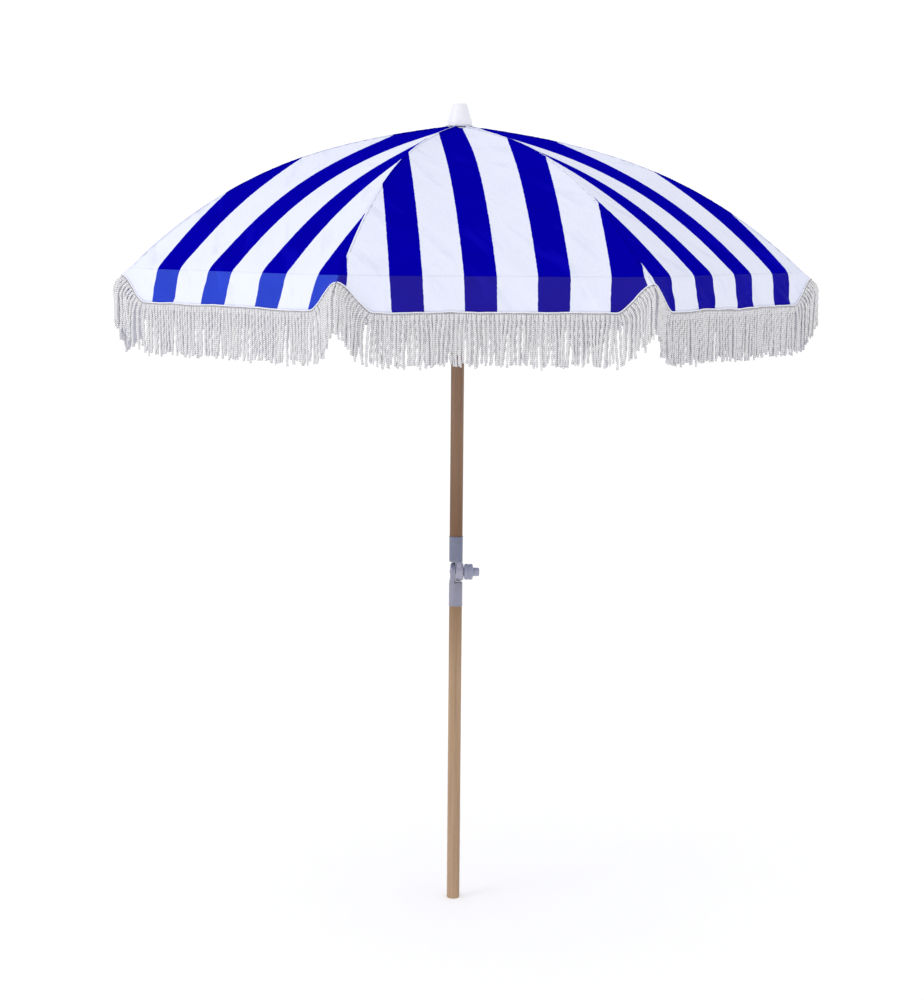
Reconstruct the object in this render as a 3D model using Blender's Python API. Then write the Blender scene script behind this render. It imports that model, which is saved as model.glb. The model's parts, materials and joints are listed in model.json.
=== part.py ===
"""A folding beach umbrella on a two-piece wooden pole, modelled open and upright.

The origin is the centre of the lower pole's flat foot. +Z points up the pole, and the tilt joint's bolt lies
along X. Every folding piece is drawn once in its own plane (X outwards, Z up, origin on its hinge) and set
round the pole.
"""

from math import atan2, cos, hypot, pi, radians, sin, tan

import bmesh
import bpy
from mathutils import Matrix, Vector

# Driving dimensions, in metres
TOTAL_HEIGHT = 2.163
TIP_RADIUS = 0.927  # from the pole's axis to a rib's tip
POLE_RADIUS = 0.0175
TILT_HEIGHT = 0.917  # the tilt bolt's axis
RIBS = 8
FIRST_RIB_ANGLE = radians(29.2)  # from +X, anticlockwise seen from above

# The open canopy: its height over the foot falls as slope * r + curve * r ** 3 along a rib
CANOPY_TOP = 2.108
CANOPY_SLOPE = 0.1432
CANOPY_CURVE = 0.3204
CANOPY_THICK = 0.0015
TOP_PATCH_RADIUS = 0.033  # the cloth disc that the finial clamps, which the panels are sewn to
PANEL_START = 0.0363
VALANCE_RADIUS = 0.907  # along a rib, where the cloth folds down into the valance
VALANCE_DROP = 0.075
VALANCE_LEAN = 0.016
TIP_DROP = 0.0185  # the hem's depth under the fold, at a rib
NOTCH_HALF_WIDTH = 0.06  # the arch in the hem at each rib
FRINGE_LENGTH = 0.118
FRINGE_THICK = 0.005
GAP = 0.0003  # between neighbours that touch

# The frame under the canopy
HINGE_RADIUS = 0.026  # the wire rings that the ribs and stretchers turn on
WIRE_RADIUS = 0.001
RIB_DROP = 0.0085  # the rib's centreline under the canopy's outer face
ROD_RADIUS = 0.0025
ROD_END_RADIUS = 0.905
EYE_HALF_THICK = 0.0015
EYE_RADIUS = 0.0038
EYE_BORE = 0.0014
SADDLE_RADIUS = 0.5
SADDLE_LENGTH = 0.022
SADDLE_SHELL = 0.005
SADDLE_PIN_DEPTH = 0.0095  # the stretcher's pin under the rib's centreline
SADDLE_PIN_RADIUS = 0.0015
CHANNEL_HALF_WIDTH = 0.0032
CHANNEL_WALL = 0.001
CHANNEL_TOP = 0.0035
CHANNEL_BOTTOM = -0.0052
CHANNEL_HEM = 0.009  # the channel's web stops this far from the saddle's pin

# The crown and the runner
CROWN_RADIUS = 0.034
CROWN_BOTTOM = 2.0805
CROWN_TOP = 2.1005
RIB_SLOT_HALF_WIDTH = 0.0026
SPIGOT_RADIUS = 0.009
SPIGOT_TOP = 2.135
RUNNER_BORE = 0.018
RUNNER_FLANGE_RADIUS = 0.0335
RUNNER_BODY_RADIUS = 0.0215
RUNNER_GRIP_RADIUS = 0.026
RUNNER_ABOVE_PIVOT = 0.006
RUNNER_BELOW_PIVOT = 0.009
RUNNER_LENGTH_BELOW = 0.065
CHANNEL_SLOT_HALF_WIDTH = 0.0038
SLOT_INNER_RADIUS = 0.0205

# The tilt joint
SLEEVE_RADIUS = 0.0184
SLEEVE_BORE = 0.0168
TENON_RADIUS = 0.0165
LOWER_SLEEVE = (0.824, 0.882)
UPPER_SLEEVE = (0.952, 1.015)
SLEEVE_PLUG = 0.01
LUG_RADIUS = 0.0255
LUG_NECK_HALF_WIDTH = 0.0155
LOWER_LUG_FACE = -0.0126
UPPER_LUG_FACE = 0.021
BOLT_RADIUS = 0.004
BOLT_BORE = 0.0043
SPRING_POCKET = (0.0086, 0.006)  # radius and depth in each lug
KNOB_START = 0.0227
KNOB_SHOULDER = 0.0459
KNOB_END = 0.064
KNOB_RADIUS = 0.0215
KNOB_BOSS_RADIUS = 0.0118
SCREW_BORE = 0.002
SCREW_FROM_END = 0.018  # a socket's screw from the sleeve's open end
SCREW_RADIUS = 0.0016
SCREW_HEAD_RADIUS = 0.0036
SCREW_DEPTH = 0.011

# Runner catch
CATCH_TURN = -pi / 2  # the catch faces the front
CATCH_HALF_THICK = 0.0015
CATCH_LENGTH = 0.062
CATCH_OUT = POLE_RADIUS + 0.006
CATCH_IN = 0.0095
CATCH_PIN_RADIUS = 0.0012
CATCH_PIN_DEPTH = 0.0125  # the catch's pin from the pole's axis
CATCH_PIN_RISE = 0.0045  # and above the catch's lower end
CATCH_SLOT_BOTTOM = 0.0005

HALF_PANEL = pi / RIBS
# The middle and half the width of a panel's chord, as shares of its ribs' radius
CHORD_MIDDLE = cos(HALF_PANEL)
CHORD_HALF = sin(HALF_PANEL)


def clear_scene():
    for obj in list(bpy.data.objects):
        bpy.data.objects.remove(obj, do_unlink=True)


def material(name, colour, roughness, metallic=0.0):
    made = bpy.data.materials.new(name)
    made.use_nodes = True
    shader = made.node_tree.nodes["Principled BSDF"]
    shader.inputs["Base Color"].default_value = (*colour, 1)
    shader.inputs["Roughness"].default_value = roughness
    shader.inputs["Metallic"].default_value = metallic
    return made


# Mesh builders. Each returns a new bmesh.


def turned(profile, segments=32):
    """A closed (radius, height) outline, anticlockwise, turned round Z."""
    bm = bmesh.new()
    rings = []
    for radius, height in profile:
        if radius == 0:
            rings.append([bm.verts.new((0, 0, height))])
            continue
        turns = (2 * pi * k / segments for k in range(segments))
        rings.append([bm.verts.new((radius * cos(t), radius * sin(t), height)) for t in turns])
    for low, high in zip(rings, rings[1:] + rings[:1]):
        if len(low) == 1 and len(high) == 1:
            continue
        for k in range(segments):
            after = (k + 1) % segments
            corners = [low[k % len(low)], low[after % len(low)]]
            corners += [high[after % len(high)], high[k % len(high)]]
            bm.faces.new(list(dict.fromkeys(corners)))
    bmesh.ops.recalc_face_normals(bm, faces=bm.faces)
    return bm


def extruded(outline, start, end):
    """A flat outline of (across, up) points, extruded along X from start to end. Across is Y."""
    bm = bmesh.new()
    near = [bm.verts.new((start, y, z)) for y, z in outline]
    far = [bm.verts.new((end, y, z)) for y, z in outline]
    bm.faces.new(near)
    bm.faces.new(far[::-1])
    for k in range(len(outline)):
        after = (k + 1) % len(outline)
        bm.faces.new([near[k], near[after], far[after], far[k]])
    bmesh.ops.recalc_face_normals(bm, faces=bm.faces)
    return bm


def box(low, high):
    outline = [(low[1], low[2]), (high[1], low[2]), (high[1], high[2]), (low[1], high[2])]
    return extruded(outline, low[0], high[0])


def rod(start, end, radius, segments=12):
    """A round bar between two points."""
    start, end = Vector(start), Vector(end)
    along = end - start
    bm = bmesh.new()
    bmesh.ops.create_cone(
        bm, cap_ends=True, segments=segments, radius1=radius, radius2=radius, depth=along.length
    )
    turn = Vector((0, 0, 1)).rotation_difference(along).to_matrix().to_4x4()
    bmesh.ops.transform(bm, matrix=Matrix.Translation((start + end) / 2) @ turn, verts=bm.verts)
    return bm


def lofted(rings):
    """A closed skin over rings that have the same number of points, with a cap at each end."""
    bm = bmesh.new()
    made = [[bm.verts.new(point) for point in ring] for ring in rings]
    for first, second in zip(made, made[1:]):
        for k in range(len(first)):
            after = (k + 1) % len(first)
            bm.faces.new([first[k], first[after], second[after], second[k]])
    bm.faces.new(made[0][::-1])
    bm.faces.new(made[-1])
    bmesh.ops.recalc_face_normals(bm, faces=bm.faces)
    return bm


def evenly(start, end, parts):
    return [start + (end - start) * k / parts for k in range(parts + 1)]


def mesh_of(bm, name, smooth_angle=35):
    mesh = bpy.data.meshes.new(name)
    bm.to_mesh(mesh)
    bm.free()
    mesh.shade_smooth()
    mesh.set_sharp_from_angle(angle=radians(smooth_angle))
    return mesh


def placed(name, mesh, mat, location=(0, 0, 0), turn=0.0):
    mesh.materials.clear()
    mesh.materials.append(mat)
    obj = bpy.data.objects.new(name, mesh)
    bpy.context.scene.collection.objects.link(obj)
    obj.location = location
    obj.rotation_euler = (0, 0, turn)
    return obj


def combined(bm, steps, name):
    """The mesh of bm after each (operation, other bmesh) Boolean in turn."""
    body = bpy.data.objects.new(name, mesh_of(bm, name))
    bpy.context.scene.collection.objects.link(body)
    tools = []
    for operation, other in steps:
        tool = bpy.data.objects.new(name + "_tool", mesh_of(other, name + "_tool"))
        bpy.context.scene.collection.objects.link(tool)
        boolean = body.modifiers.new(operation, "BOOLEAN")
        boolean.operation = operation
        boolean.object = tool
        tools.append(tool)
    bpy.context.view_layer.update()
    graph = bpy.context.evaluated_depsgraph_get()
    mesh = bpy.data.meshes.new_from_object(body.evaluated_get(graph))
    for obj in [body, *tools]:
        bpy.data.objects.remove(obj, do_unlink=True)
    mesh.name = name
    mesh.shade_smooth()
    mesh.set_sharp_from_angle(angle=radians(35))
    return mesh


# The canopy's and the linkage's geometry, in a rib's plane


def canopy_height(radius):
    return CANOPY_TOP - CANOPY_SLOPE * radius - CANOPY_CURVE * radius**3


def canopy_fall(radius):
    """How steeply the canopy falls there, as an angle."""
    return atan2(CANOPY_SLOPE + 3 * CANOPY_CURVE * radius**2, 1)


def rib_height(radius):
    return canopy_height(radius) - RIB_DROP


HUB = (HINGE_RADIUS, rib_height(HINGE_RADIUS))
SADDLE_FALL = canopy_fall(SADDLE_RADIUS)
SADDLE_PIN = (
    SADDLE_RADIUS - SADDLE_PIN_DEPTH * sin(SADDLE_FALL),
    rib_height(SADDLE_RADIUS) - SADDLE_PIN_DEPTH * cos(SADDLE_FALL),
)
# The stretcher is as long as the rib from its hinge to the saddle's pin, so the runner's pivot mirrors
# the hub's
RUNNER_PIVOT = (HINGE_RADIUS, 2 * SADDLE_PIN[1] - HUB[1])
STRETCHER_LENGTH = hypot(SADDLE_PIN[0] - HUB[0], SADDLE_PIN[1] - HUB[1])
STRETCHER_RISE = atan2(SADDLE_PIN[1] - RUNNER_PIVOT[1], SADDLE_PIN[0] - RUNNER_PIVOT[0])
PANEL_HINGE = (HINGE_RADIUS * CHORD_MIDDLE, HUB[1])
FOLD = (VALANCE_RADIUS * CHORD_MIDDLE, canopy_height(VALANCE_RADIUS))
RUNNER_BOTTOM = RUNNER_PIVOT[1] - RUNNER_LENGTH_BELOW
CATCH_TOP = RUNNER_BOTTOM - GAP
CATCH_BOTTOM = CATCH_TOP - CATCH_LENGTH
CATCH_PIN = (CATCH_PIN_DEPTH, CATCH_BOTTOM + CATCH_PIN_RISE)


def around(point, turn):
    """A point of a rib's plane, as a world position on the rib at that angle."""
    return point[0] * cos(turn), point[0] * sin(turn), point[1]


# Pole


def pole_pieces(wood):
    foot_chamfer = 0.0015
    lower = turned(
        [
            (0, 0),
            (POLE_RADIUS - foot_chamfer, 0),
            (POLE_RADIUS, foot_chamfer),
            (POLE_RADIUS, LOWER_SLEEVE[0] - GAP),
            (TENON_RADIUS, LOWER_SLEEVE[0] - GAP),
            (TENON_RADIUS, LOWER_SLEEVE[1] - SLEEVE_PLUG - GAP),
            (0, LOWER_SLEEVE[1] - SLEEVE_PLUG - GAP),
        ],
        24,
    )
    lower = combined(lower, [("DIFFERENCE", screw_hole(LOWER_SLEEVE[0]))], "lower_pole")
    placed("lower_pole", lower, wood)
    shoulder = CROWN_BOTTOM - GAP
    upper = turned(
        [
            (0, UPPER_SLEEVE[0] + SLEEVE_PLUG + GAP),
            (TENON_RADIUS, UPPER_SLEEVE[0] + SLEEVE_PLUG + GAP),
            (TENON_RADIUS, UPPER_SLEEVE[1] + GAP),
            (POLE_RADIUS, UPPER_SLEEVE[1] + GAP),
            (POLE_RADIUS, shoulder),
            (SPIGOT_RADIUS, shoulder),
            (SPIGOT_RADIUS, SPIGOT_TOP),
            (0, SPIGOT_TOP),
        ],
        24,
    )
    steps = [
        ("DIFFERENCE", screw_hole(UPPER_SLEEVE[1] - 2 * SCREW_FROM_END)),
        ("DIFFERENCE", catch_slot()),
        ("DIFFERENCE", catch_pin_bar(CATCH_PIN_RADIUS + GAP, 2 * POLE_RADIUS)),
    ]
    placed("upper_pole", combined(upper, steps, "upper_pole"), wood)


# Tilt joint


def screw_hole(open_end):
    """The hole for a socket's fixing screw, at the back, this side of the sleeve's open end."""
    height = open_end + SCREW_FROM_END
    return rod((0, POLE_RADIUS - SCREW_DEPTH - GAP, height), (0, SLEEVE_RADIUS + 0.01, height), SCREW_BORE)


def socket_screw(name, height, mat):
    """A pan-head screw along -Y, its head on the sleeve."""
    seat = SLEEVE_RADIUS + GAP
    head = 0.0018
    profile = [
        (0, -SCREW_DEPTH),
        (SCREW_RADIUS, -SCREW_DEPTH + 0.002),
        (SCREW_RADIUS, 0),
        (SCREW_HEAD_RADIUS, 0),
        (SCREW_HEAD_RADIUS, 0.4 * head),
        (0.6 * SCREW_HEAD_RADIUS, head),
        (0, head),
    ]
    bm = turned(profile, 16)
    bmesh.ops.rotate(bm, matrix=Matrix.Rotation(-pi / 2, 3, "X"), verts=bm.verts)
    placed(name, mesh_of(bm, name), mat, (0, seat, height))


def lug(start, end, direction):
    """A disc on the bolt's axis with a neck towards its sleeve, which is above where direction is 1."""
    neck_end = 0.04
    opening = atan2(LUG_NECK_HALF_WIDTH, (LUG_RADIUS**2 - LUG_NECK_HALF_WIDTH**2) ** 0.5)
    arc_steps = 28
    outline = [(LUG_NECK_HALF_WIDTH, neck_end)]
    for k in range(arc_steps + 1):
        turn = opening + (2 * pi - 2 * opening) * k / arc_steps
        outline.append((LUG_RADIUS * sin(turn), LUG_RADIUS * cos(turn)))
    outline.append((-LUG_NECK_HALF_WIDTH, neck_end))
    bm = extruded(outline, start, end)
    if direction < 0:
        bmesh.ops.rotate(bm, matrix=Matrix.Rotation(pi, 3, "X"), verts=bm.verts)
    bmesh.ops.bevel(
        bm,
        geom=[e for e in bm.edges if e.calc_face_angle(0) > radians(60)],
        offset=0.0016,
        segments=2,
        affect="EDGES",
    )
    bmesh.ops.translate(bm, vec=(0, 0, TILT_HEIGHT), verts=bm.verts)
    return bm


def sleeve(closed_end, open_end):
    """A tube that is closed by a plug next to the tilt joint."""
    towards = 1 if open_end > closed_end else -1
    round_off = 0.002
    profile = [
        (0, closed_end),
        (SLEEVE_RADIUS - round_off, closed_end),
        (SLEEVE_RADIUS, closed_end + towards * round_off),
        (SLEEVE_RADIUS, open_end),
        (SLEEVE_BORE, open_end),
        (SLEEVE_BORE, closed_end + towards * SLEEVE_PLUG),
        (0, closed_end + towards * SLEEVE_PLUG),
    ]
    return turned(profile, 32)


def spring_pocket(mouth, towards):
    radius, depth = SPRING_POCKET
    start, end = mouth - towards * 0.002, mouth + towards * depth
    return rod((start, 0, TILT_HEIGHT), (end, 0, TILT_HEIGHT), radius, 20)


def tilt_pieces(metal, steel, knob_mat):
    bolt_hole = ((-0.05, 0, TILT_HEIGHT), (0.05, 0, TILT_HEIGHT))
    lower = [
        ("UNION", lug(LOWER_LUG_FACE, -GAP, -1)),
        ("DIFFERENCE", rod(*bolt_hole, BOLT_BORE, 20)),
        ("DIFFERENCE", spring_pocket(-GAP, -1)),
        ("DIFFERENCE", screw_hole(LOWER_SLEEVE[0])),
    ]
    socket = combined(sleeve(LOWER_SLEEVE[1], LOWER_SLEEVE[0]), lower, "tilt_lower_socket")
    placed("tilt_lower_socket", socket, metal)
    upper = [
        ("UNION", lug(GAP, UPPER_LUG_FACE, 1)),
        ("DIFFERENCE", rod(*bolt_hole, BOLT_BORE, 20)),
        ("DIFFERENCE", spring_pocket(GAP, 1)),
        ("DIFFERENCE", screw_hole(UPPER_SLEEVE[1] - 2 * SCREW_FROM_END)),
    ]
    socket = combined(sleeve(UPPER_SLEEVE[0], UPPER_SLEEVE[1]), upper, "tilt_upper_socket")
    placed("tilt_upper_socket", socket, metal)
    socket_screw("lower_socket_screw", LOWER_SLEEVE[0] + SCREW_FROM_END, steel)
    socket_screw("upper_socket_screw", UPPER_SLEEVE[1] - SCREW_FROM_END, steel)
    tilt_bolt(steel)
    tilt_spring(steel)
    tilt_washer(steel)
    tilt_knob(knob_mat)


def along_bolt(bm):
    """Turns a piece drawn round Z so that it lies along the tilt bolt, its origin on the pole's axis."""
    bmesh.ops.rotate(bm, matrix=Matrix.Rotation(pi / 2, 3, "Y"), verts=bm.verts)
    return bm


def tilt_bolt(mat):
    head_radius, head_thick = 0.0092, 0.0042
    seat = LOWER_LUG_FACE - GAP
    end = 0.052
    dome = [(head_radius * cos(t), seat - head_thick * sin(t)) for t in (0, 0.3, 0.6, 0.9, 1.2)]
    profile = [(0, seat - head_thick), *dome[::-1], (BOLT_RADIUS, seat), (BOLT_RADIUS, end - 0.001)]
    profile += [(BOLT_RADIUS - 0.001, end), (0, end)]
    bm = along_bolt(turned(profile, 20))
    placed("tilt_bolt", mesh_of(bm, "tilt_bolt"), mat, (0, 0, TILT_HEIGHT))


def tilt_spring(mat):
    """The spring that parts the two lugs when the knob is slackened."""
    wire, coil_radius, turns, steps = 0.0008, 0.0064, 3.5, 10
    half = SPRING_POCKET[1] - wire - GAP
    points = []
    for k in range(int(turns * steps) + 1):
        angle = 2 * pi * k / steps
        along = -half + 2 * half * k / (turns * steps)
        points.append((along, coil_radius * cos(angle), coil_radius * sin(angle)))
    curve = bpy.data.curves.new("tilt_spring", "CURVE")
    curve.dimensions = "3D"
    curve.bevel_depth = wire
    curve.bevel_resolution = 0
    curve.use_fill_caps = True
    spline = curve.splines.new("POLY")
    spline.points.add(len(points) - 1)
    for point, place in zip(spline.points, points):
        point.co = (*place, 1)
    curve.materials.append(mat)
    spring = bpy.data.objects.new("tilt_spring", curve)
    bpy.context.scene.collection.objects.link(spring)
    spring.location = (0, 0, TILT_HEIGHT)


def tilt_washer(mat):
    start, end, radius = UPPER_LUG_FACE + GAP, KNOB_START - GAP, 0.0125
    profile = [(BOLT_BORE, start), (radius, start), (radius, end), (BOLT_BORE, end)]
    placed("tilt_washer", mesh_of(along_bolt(turned(profile, 24)), "tilt_washer"), mat, (0, 0, TILT_HEIGHT))


def tilt_knob(mat):
    """A fluted clamping knob with a domed boss, which turns on the bolt's threaded end."""
    flutes, points_each = 10, 4
    flute_depth = 0.0014
    blind_end = 0.054
    rings = []
    outer = [(0.93, KNOB_START), (1.0, KNOB_START + 0.002)]
    outer += [(1.0, KNOB_SHOULDER - 0.003), (0.9, KNOB_SHOULDER)]
    for share, along in outer:
        ring = []
        for k in range(flutes * points_each):
            turn = 2 * pi * k / (flutes * points_each)
            radius = KNOB_RADIUS * share - flute_depth * (0.5 + 0.5 * cos(flutes * turn))
            ring.append((along, radius * sin(turn), radius * cos(turn)))
        rings.append(ring)
    body = lofted(rings)
    dome = 0.006
    boss_profile = [(0, KNOB_SHOULDER - 0.004), (KNOB_BOSS_RADIUS, KNOB_SHOULDER - 0.004)]
    for turn in (0, pi / 8, pi / 4, 3 * pi / 8):
        boss_profile.append((KNOB_BOSS_RADIUS - dome * (1 - cos(turn)), KNOB_END - dome + dome * sin(turn)))
    boss_profile.append((0, KNOB_END))
    steps = [
        ("UNION", along_bolt(turned(boss_profile, 24))),
        ("DIFFERENCE", rod((KNOB_START - 0.01, 0, 0), (blind_end, 0, 0), BOLT_BORE, 20)),
    ]
    placed("tilt_knob", combined(body, steps, "tilt_knob"), mat, (0, 0, TILT_HEIGHT))


# Crown


def octagon_ring(inner, outer, low, high):
    """A ring with flat sides, one square to each rib, between two apothems."""
    reach = 1 / cos(HALF_PANEL)
    bm = bmesh.new()
    loops = []
    for radius, height in ((inner, low), (outer, low), (outer, high), (inner, high)):
        turns = (FIRST_RIB_ANGLE + HALF_PANEL * (2 * k + 1) for k in range(RIBS))
        size = radius * reach
        loops.append([bm.verts.new((size * cos(t), size * sin(t), height)) for t in turns])
    for low_loop, high_loop in zip(loops, loops[1:] + loops[:1]):
        for k in range(RIBS):
            after = (k + 1) % RIBS
            bm.faces.new([low_loop[k], low_loop[after], high_loop[after], high_loop[k]])
    bmesh.ops.recalc_face_normals(bm, faces=bm.faces)
    return bm


def wire_ring(name, height, mat):
    """The ring of wire that eight hinges turn on: straight across each of them."""
    sides = 8
    reach = HINGE_RADIUS / cos(HALF_PANEL)
    bm = bmesh.new()
    rings = []
    for k in range(RIBS):
        corner = FIRST_RIB_ANGLE + HALF_PANEL * (2 * k + 1)
        ring = []
        for side in range(sides):
            turn = 2 * pi * (side + 0.5) / sides
            radius = reach + WIRE_RADIUS * cos(turn) / cos(HALF_PANEL)
            ring.append(bm.verts.new((radius * cos(corner), radius * sin(corner), WIRE_RADIUS * sin(turn))))
        rings.append(ring)
    for first, second in zip(rings, rings[1:] + rings[:1]):
        for side in range(sides):
            after = (side + 1) % sides
            bm.faces.new([first[side], first[after], second[after], second[side]])
    bmesh.ops.recalc_face_normals(bm, faces=bm.faces)
    return placed(name, mesh_of(bm, name), mat, (0, 0, height))


def radial_slots(half_width, low, high):
    """One slot for each rib, as a bmesh of separate boxes."""
    bm = bmesh.new()
    for k in range(RIBS):
        slot = box((SLOT_INNER_RADIUS, -half_width, low), (0.06, half_width, high))
        turn = Matrix.Rotation(FIRST_RIB_ANGLE + 2 * HALF_PANEL * k, 4, "Z")
        bmesh.ops.transform(slot, matrix=turn, verts=slot.verts)
        mesh = bpy.data.meshes.new("slot")
        slot.to_mesh(mesh)
        slot.free()
        bm.from_mesh(mesh)
        bpy.data.meshes.remove(mesh)
    return bm


def crown_pieces(plastic, steel, cloth):
    edge = 0.0015
    profile = [
        (SPIGOT_RADIUS + GAP, CROWN_BOTTOM),
        (CROWN_RADIUS - 4 * edge, CROWN_BOTTOM),
        (CROWN_RADIUS, CROWN_BOTTOM + 4 * edge),
        (CROWN_RADIUS, CROWN_TOP - edge),
        (CROWN_RADIUS - edge, CROWN_TOP),
        (SPIGOT_RADIUS + GAP, CROWN_TOP),
    ]
    groove = WIRE_RADIUS + GAP
    steps = [
        ("DIFFERENCE", radial_slots(RIB_SLOT_HALF_WIDTH, CROWN_BOTTOM - 0.01, CROWN_TOP + 0.01)),
        ("DIFFERENCE", octagon_ring(HINGE_RADIUS - groove, HINGE_RADIUS + groove, HUB[1] - groove, 2.12)),
    ]
    placed("crown_hub", combined(turned(profile, 32), steps, "crown_hub"), plastic)
    wire_ring("crown_ring", HUB[1], steel)
    rim = TOP_PATCH_RADIUS
    profile = [
        (SPIGOT_RADIUS + GAP, canopy_height(SPIGOT_RADIUS) - CANOPY_THICK),
        (rim, canopy_height(rim) - CANOPY_THICK),
        (rim, canopy_height(rim)),
        (SPIGOT_RADIUS + GAP, canopy_height(SPIGOT_RADIUS)),
    ]
    placed("canopy_top_patch", mesh_of(turned(profile, 32), "canopy_top_patch"), cloth)
    finial_bottom = CANOPY_TOP + GAP
    socket_top = SPIGOT_TOP + GAP
    profile = [
        (SPIGOT_RADIUS + GAP, finial_bottom),
        (0.0322, finial_bottom),
        (0.033, finial_bottom + 0.001),
        (0.0322, finial_bottom + 0.009),
        (0.0268, finial_bottom + 0.027),
        (0.0198, TOTAL_HEIGHT - 0.004),
        (0.0187, TOTAL_HEIGHT - 0.0012),
        (0.0172, TOTAL_HEIGHT),
        (0, TOTAL_HEIGHT),
        (0, socket_top),
        (SPIGOT_RADIUS + GAP, socket_top),
    ]
    placed("finial", mesh_of(turned(profile, 32), "finial", 50), plastic)


# Runner and its catch

def turned_to_front(bm):
    """Turns a piece drawn along +X to face the way the catch does."""
    bmesh.ops.rotate(bm, matrix=Matrix.Rotation(CATCH_TURN, 3, "Z"), verts=bm.verts)
    return bm


def catch_slot():
    width = CATCH_HALF_THICK + 0.0005
    low = (CATCH_SLOT_BOTTOM, -width, CATCH_BOTTOM - 0.003)
    return turned_to_front(box(low, (POLE_RADIUS + 0.01, width, CATCH_TOP + 0.003)))


def catch_pin_bar(radius, length):
    bar = rod((CATCH_PIN[0], -length / 2, CATCH_PIN[1]), (CATCH_PIN[0], length / 2, CATCH_PIN[1]), radius)
    return turned_to_front(bar)


def catch_pieces(steel):
    """A spring catch in a slot of the pole. Its flat top carries the runner, and it pivots on a pin."""
    outline = [
        (CATCH_IN, CATCH_BOTTOM),
        (POLE_RADIUS - 0.002, CATCH_BOTTOM),
        (POLE_RADIUS, CATCH_BOTTOM + 0.006),
        (CATCH_OUT, CATCH_TOP - 0.005),
        (CATCH_OUT, CATCH_TOP),
        (CATCH_IN, CATCH_TOP),
    ]
    bm = extruded(outline, -CATCH_HALF_THICK, CATCH_HALF_THICK)
    # The outline was drawn across Y and up Z, and belongs across X
    bmesh.ops.rotate(bm, matrix=Matrix.Rotation(-pi / 2, 3, "Z"), verts=bm.verts)
    turned_to_front(bm)
    mesh = combined(bm, [("DIFFERENCE", catch_pin_bar(CATCH_PIN_RADIUS + GAP, 0.02))], "runner_catch")
    pivot = bpy.data.objects.new("catch_pivot", None)
    bpy.context.scene.collection.objects.link(pivot)
    pivot.location = around(CATCH_PIN, CATCH_TURN)
    catch = placed("runner_catch", mesh, steel)
    catch.parent = pivot
    catch.location = -pivot.location
    # The pin's outer edge stays inside the pole, so that the runner slides over it
    half_chord = (POLE_RADIUS**2 - (CATCH_PIN_DEPTH + CATCH_PIN_RADIUS) ** 2) ** 0.5
    pin = catch_pin_bar(CATCH_PIN_RADIUS, 2 * half_chord - 2 * GAP)
    placed("catch_pin", mesh_of(pin, "catch_pin"), steel)


def runner_pieces(plastic, steel):
    pivot = RUNNER_PIVOT[1]
    bottom = RUNNER_BOTTOM
    flange_low = pivot - RUNNER_BELOW_PIVOT
    flange_top = pivot + RUNNER_ABOVE_PIVOT
    profile = [
        (RUNNER_BORE, bottom),
        (RUNNER_GRIP_RADIUS - 0.002, bottom),
        (RUNNER_GRIP_RADIUS, bottom + 0.002),
        (RUNNER_GRIP_RADIUS, bottom + 0.006),
        (RUNNER_BODY_RADIUS, bottom + 0.014),
        (RUNNER_BODY_RADIUS, flange_low - 0.006),
        (RUNNER_FLANGE_RADIUS, flange_low),
        (RUNNER_FLANGE_RADIUS, flange_top - 0.001),
        (RUNNER_FLANGE_RADIUS - 0.001, flange_top),
        (RUNNER_BORE, flange_top),
    ]
    groove = WIRE_RADIUS + GAP
    steps = [
        ("DIFFERENCE", radial_slots(CHANNEL_SLOT_HALF_WIDTH, flange_low - 0.012, flange_top + 0.01)),
        (
            "DIFFERENCE",
            octagon_ring(HINGE_RADIUS - groove, HINGE_RADIUS + groove, pivot - groove, flange_top + 0.01),
        ),
    ]
    mesh = combined(turned(profile, 32), steps, "runner")
    joint = bpy.data.objects.new("runner_joint", None)
    bpy.context.scene.collection.objects.link(joint)
    joint.location = around(RUNNER_PIVOT, FIRST_RIB_ANGLE)
    runner = placed("runner", mesh, plastic)
    runner.parent = joint
    runner.location = -joint.location
    ring = wire_ring("runner_ring", pivot, steel)
    ring.parent = joint
    ring.location = ring.location - joint.location


# Ribs, saddles and stretchers, each drawn round its own hinge


def rib_mesh():
    """A round rod that is flattened into an eye at the hub."""
    sides = 8
    flat_end, round_start = 0.037, 0.046
    stations = [HINGE_RADIUS - EYE_RADIUS, 0.0245, flat_end]
    stations += evenly(round_start, SADDLE_RADIUS - 0.015, 6)
    stations += evenly(SADDLE_RADIUS + 0.015, ROD_END_RADIUS, 5)
    rings = []
    for radius in stations:
        fall = canopy_fall(radius)
        if radius <= flat_end:
            tall, wide = (EYE_RADIUS, EYE_HALF_THICK)
        else:
            tall, wide = (ROD_RADIUS, ROD_RADIUS)
        if radius < HINGE_RADIUS - 0.002:
            tall *= 0.55
        ring = []
        for side in range(sides):
            turn = 2 * pi * (side + 0.5) / sides
            up = tall * sin(turn) / sin(3 * pi / sides)
            out = radius - HUB[0] + up * sin(fall)
            height = rib_height(radius) - HUB[1] + up * cos(fall)
            ring.append((out, wide * cos(turn) / cos(pi / sides), height))
        rings.append(ring)
    bore = rod((0, -0.01, 0), (0, 0.01, 0), EYE_BORE, 12)
    return combined(lofted(rings), [("DIFFERENCE", bore)], "rib")


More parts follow.
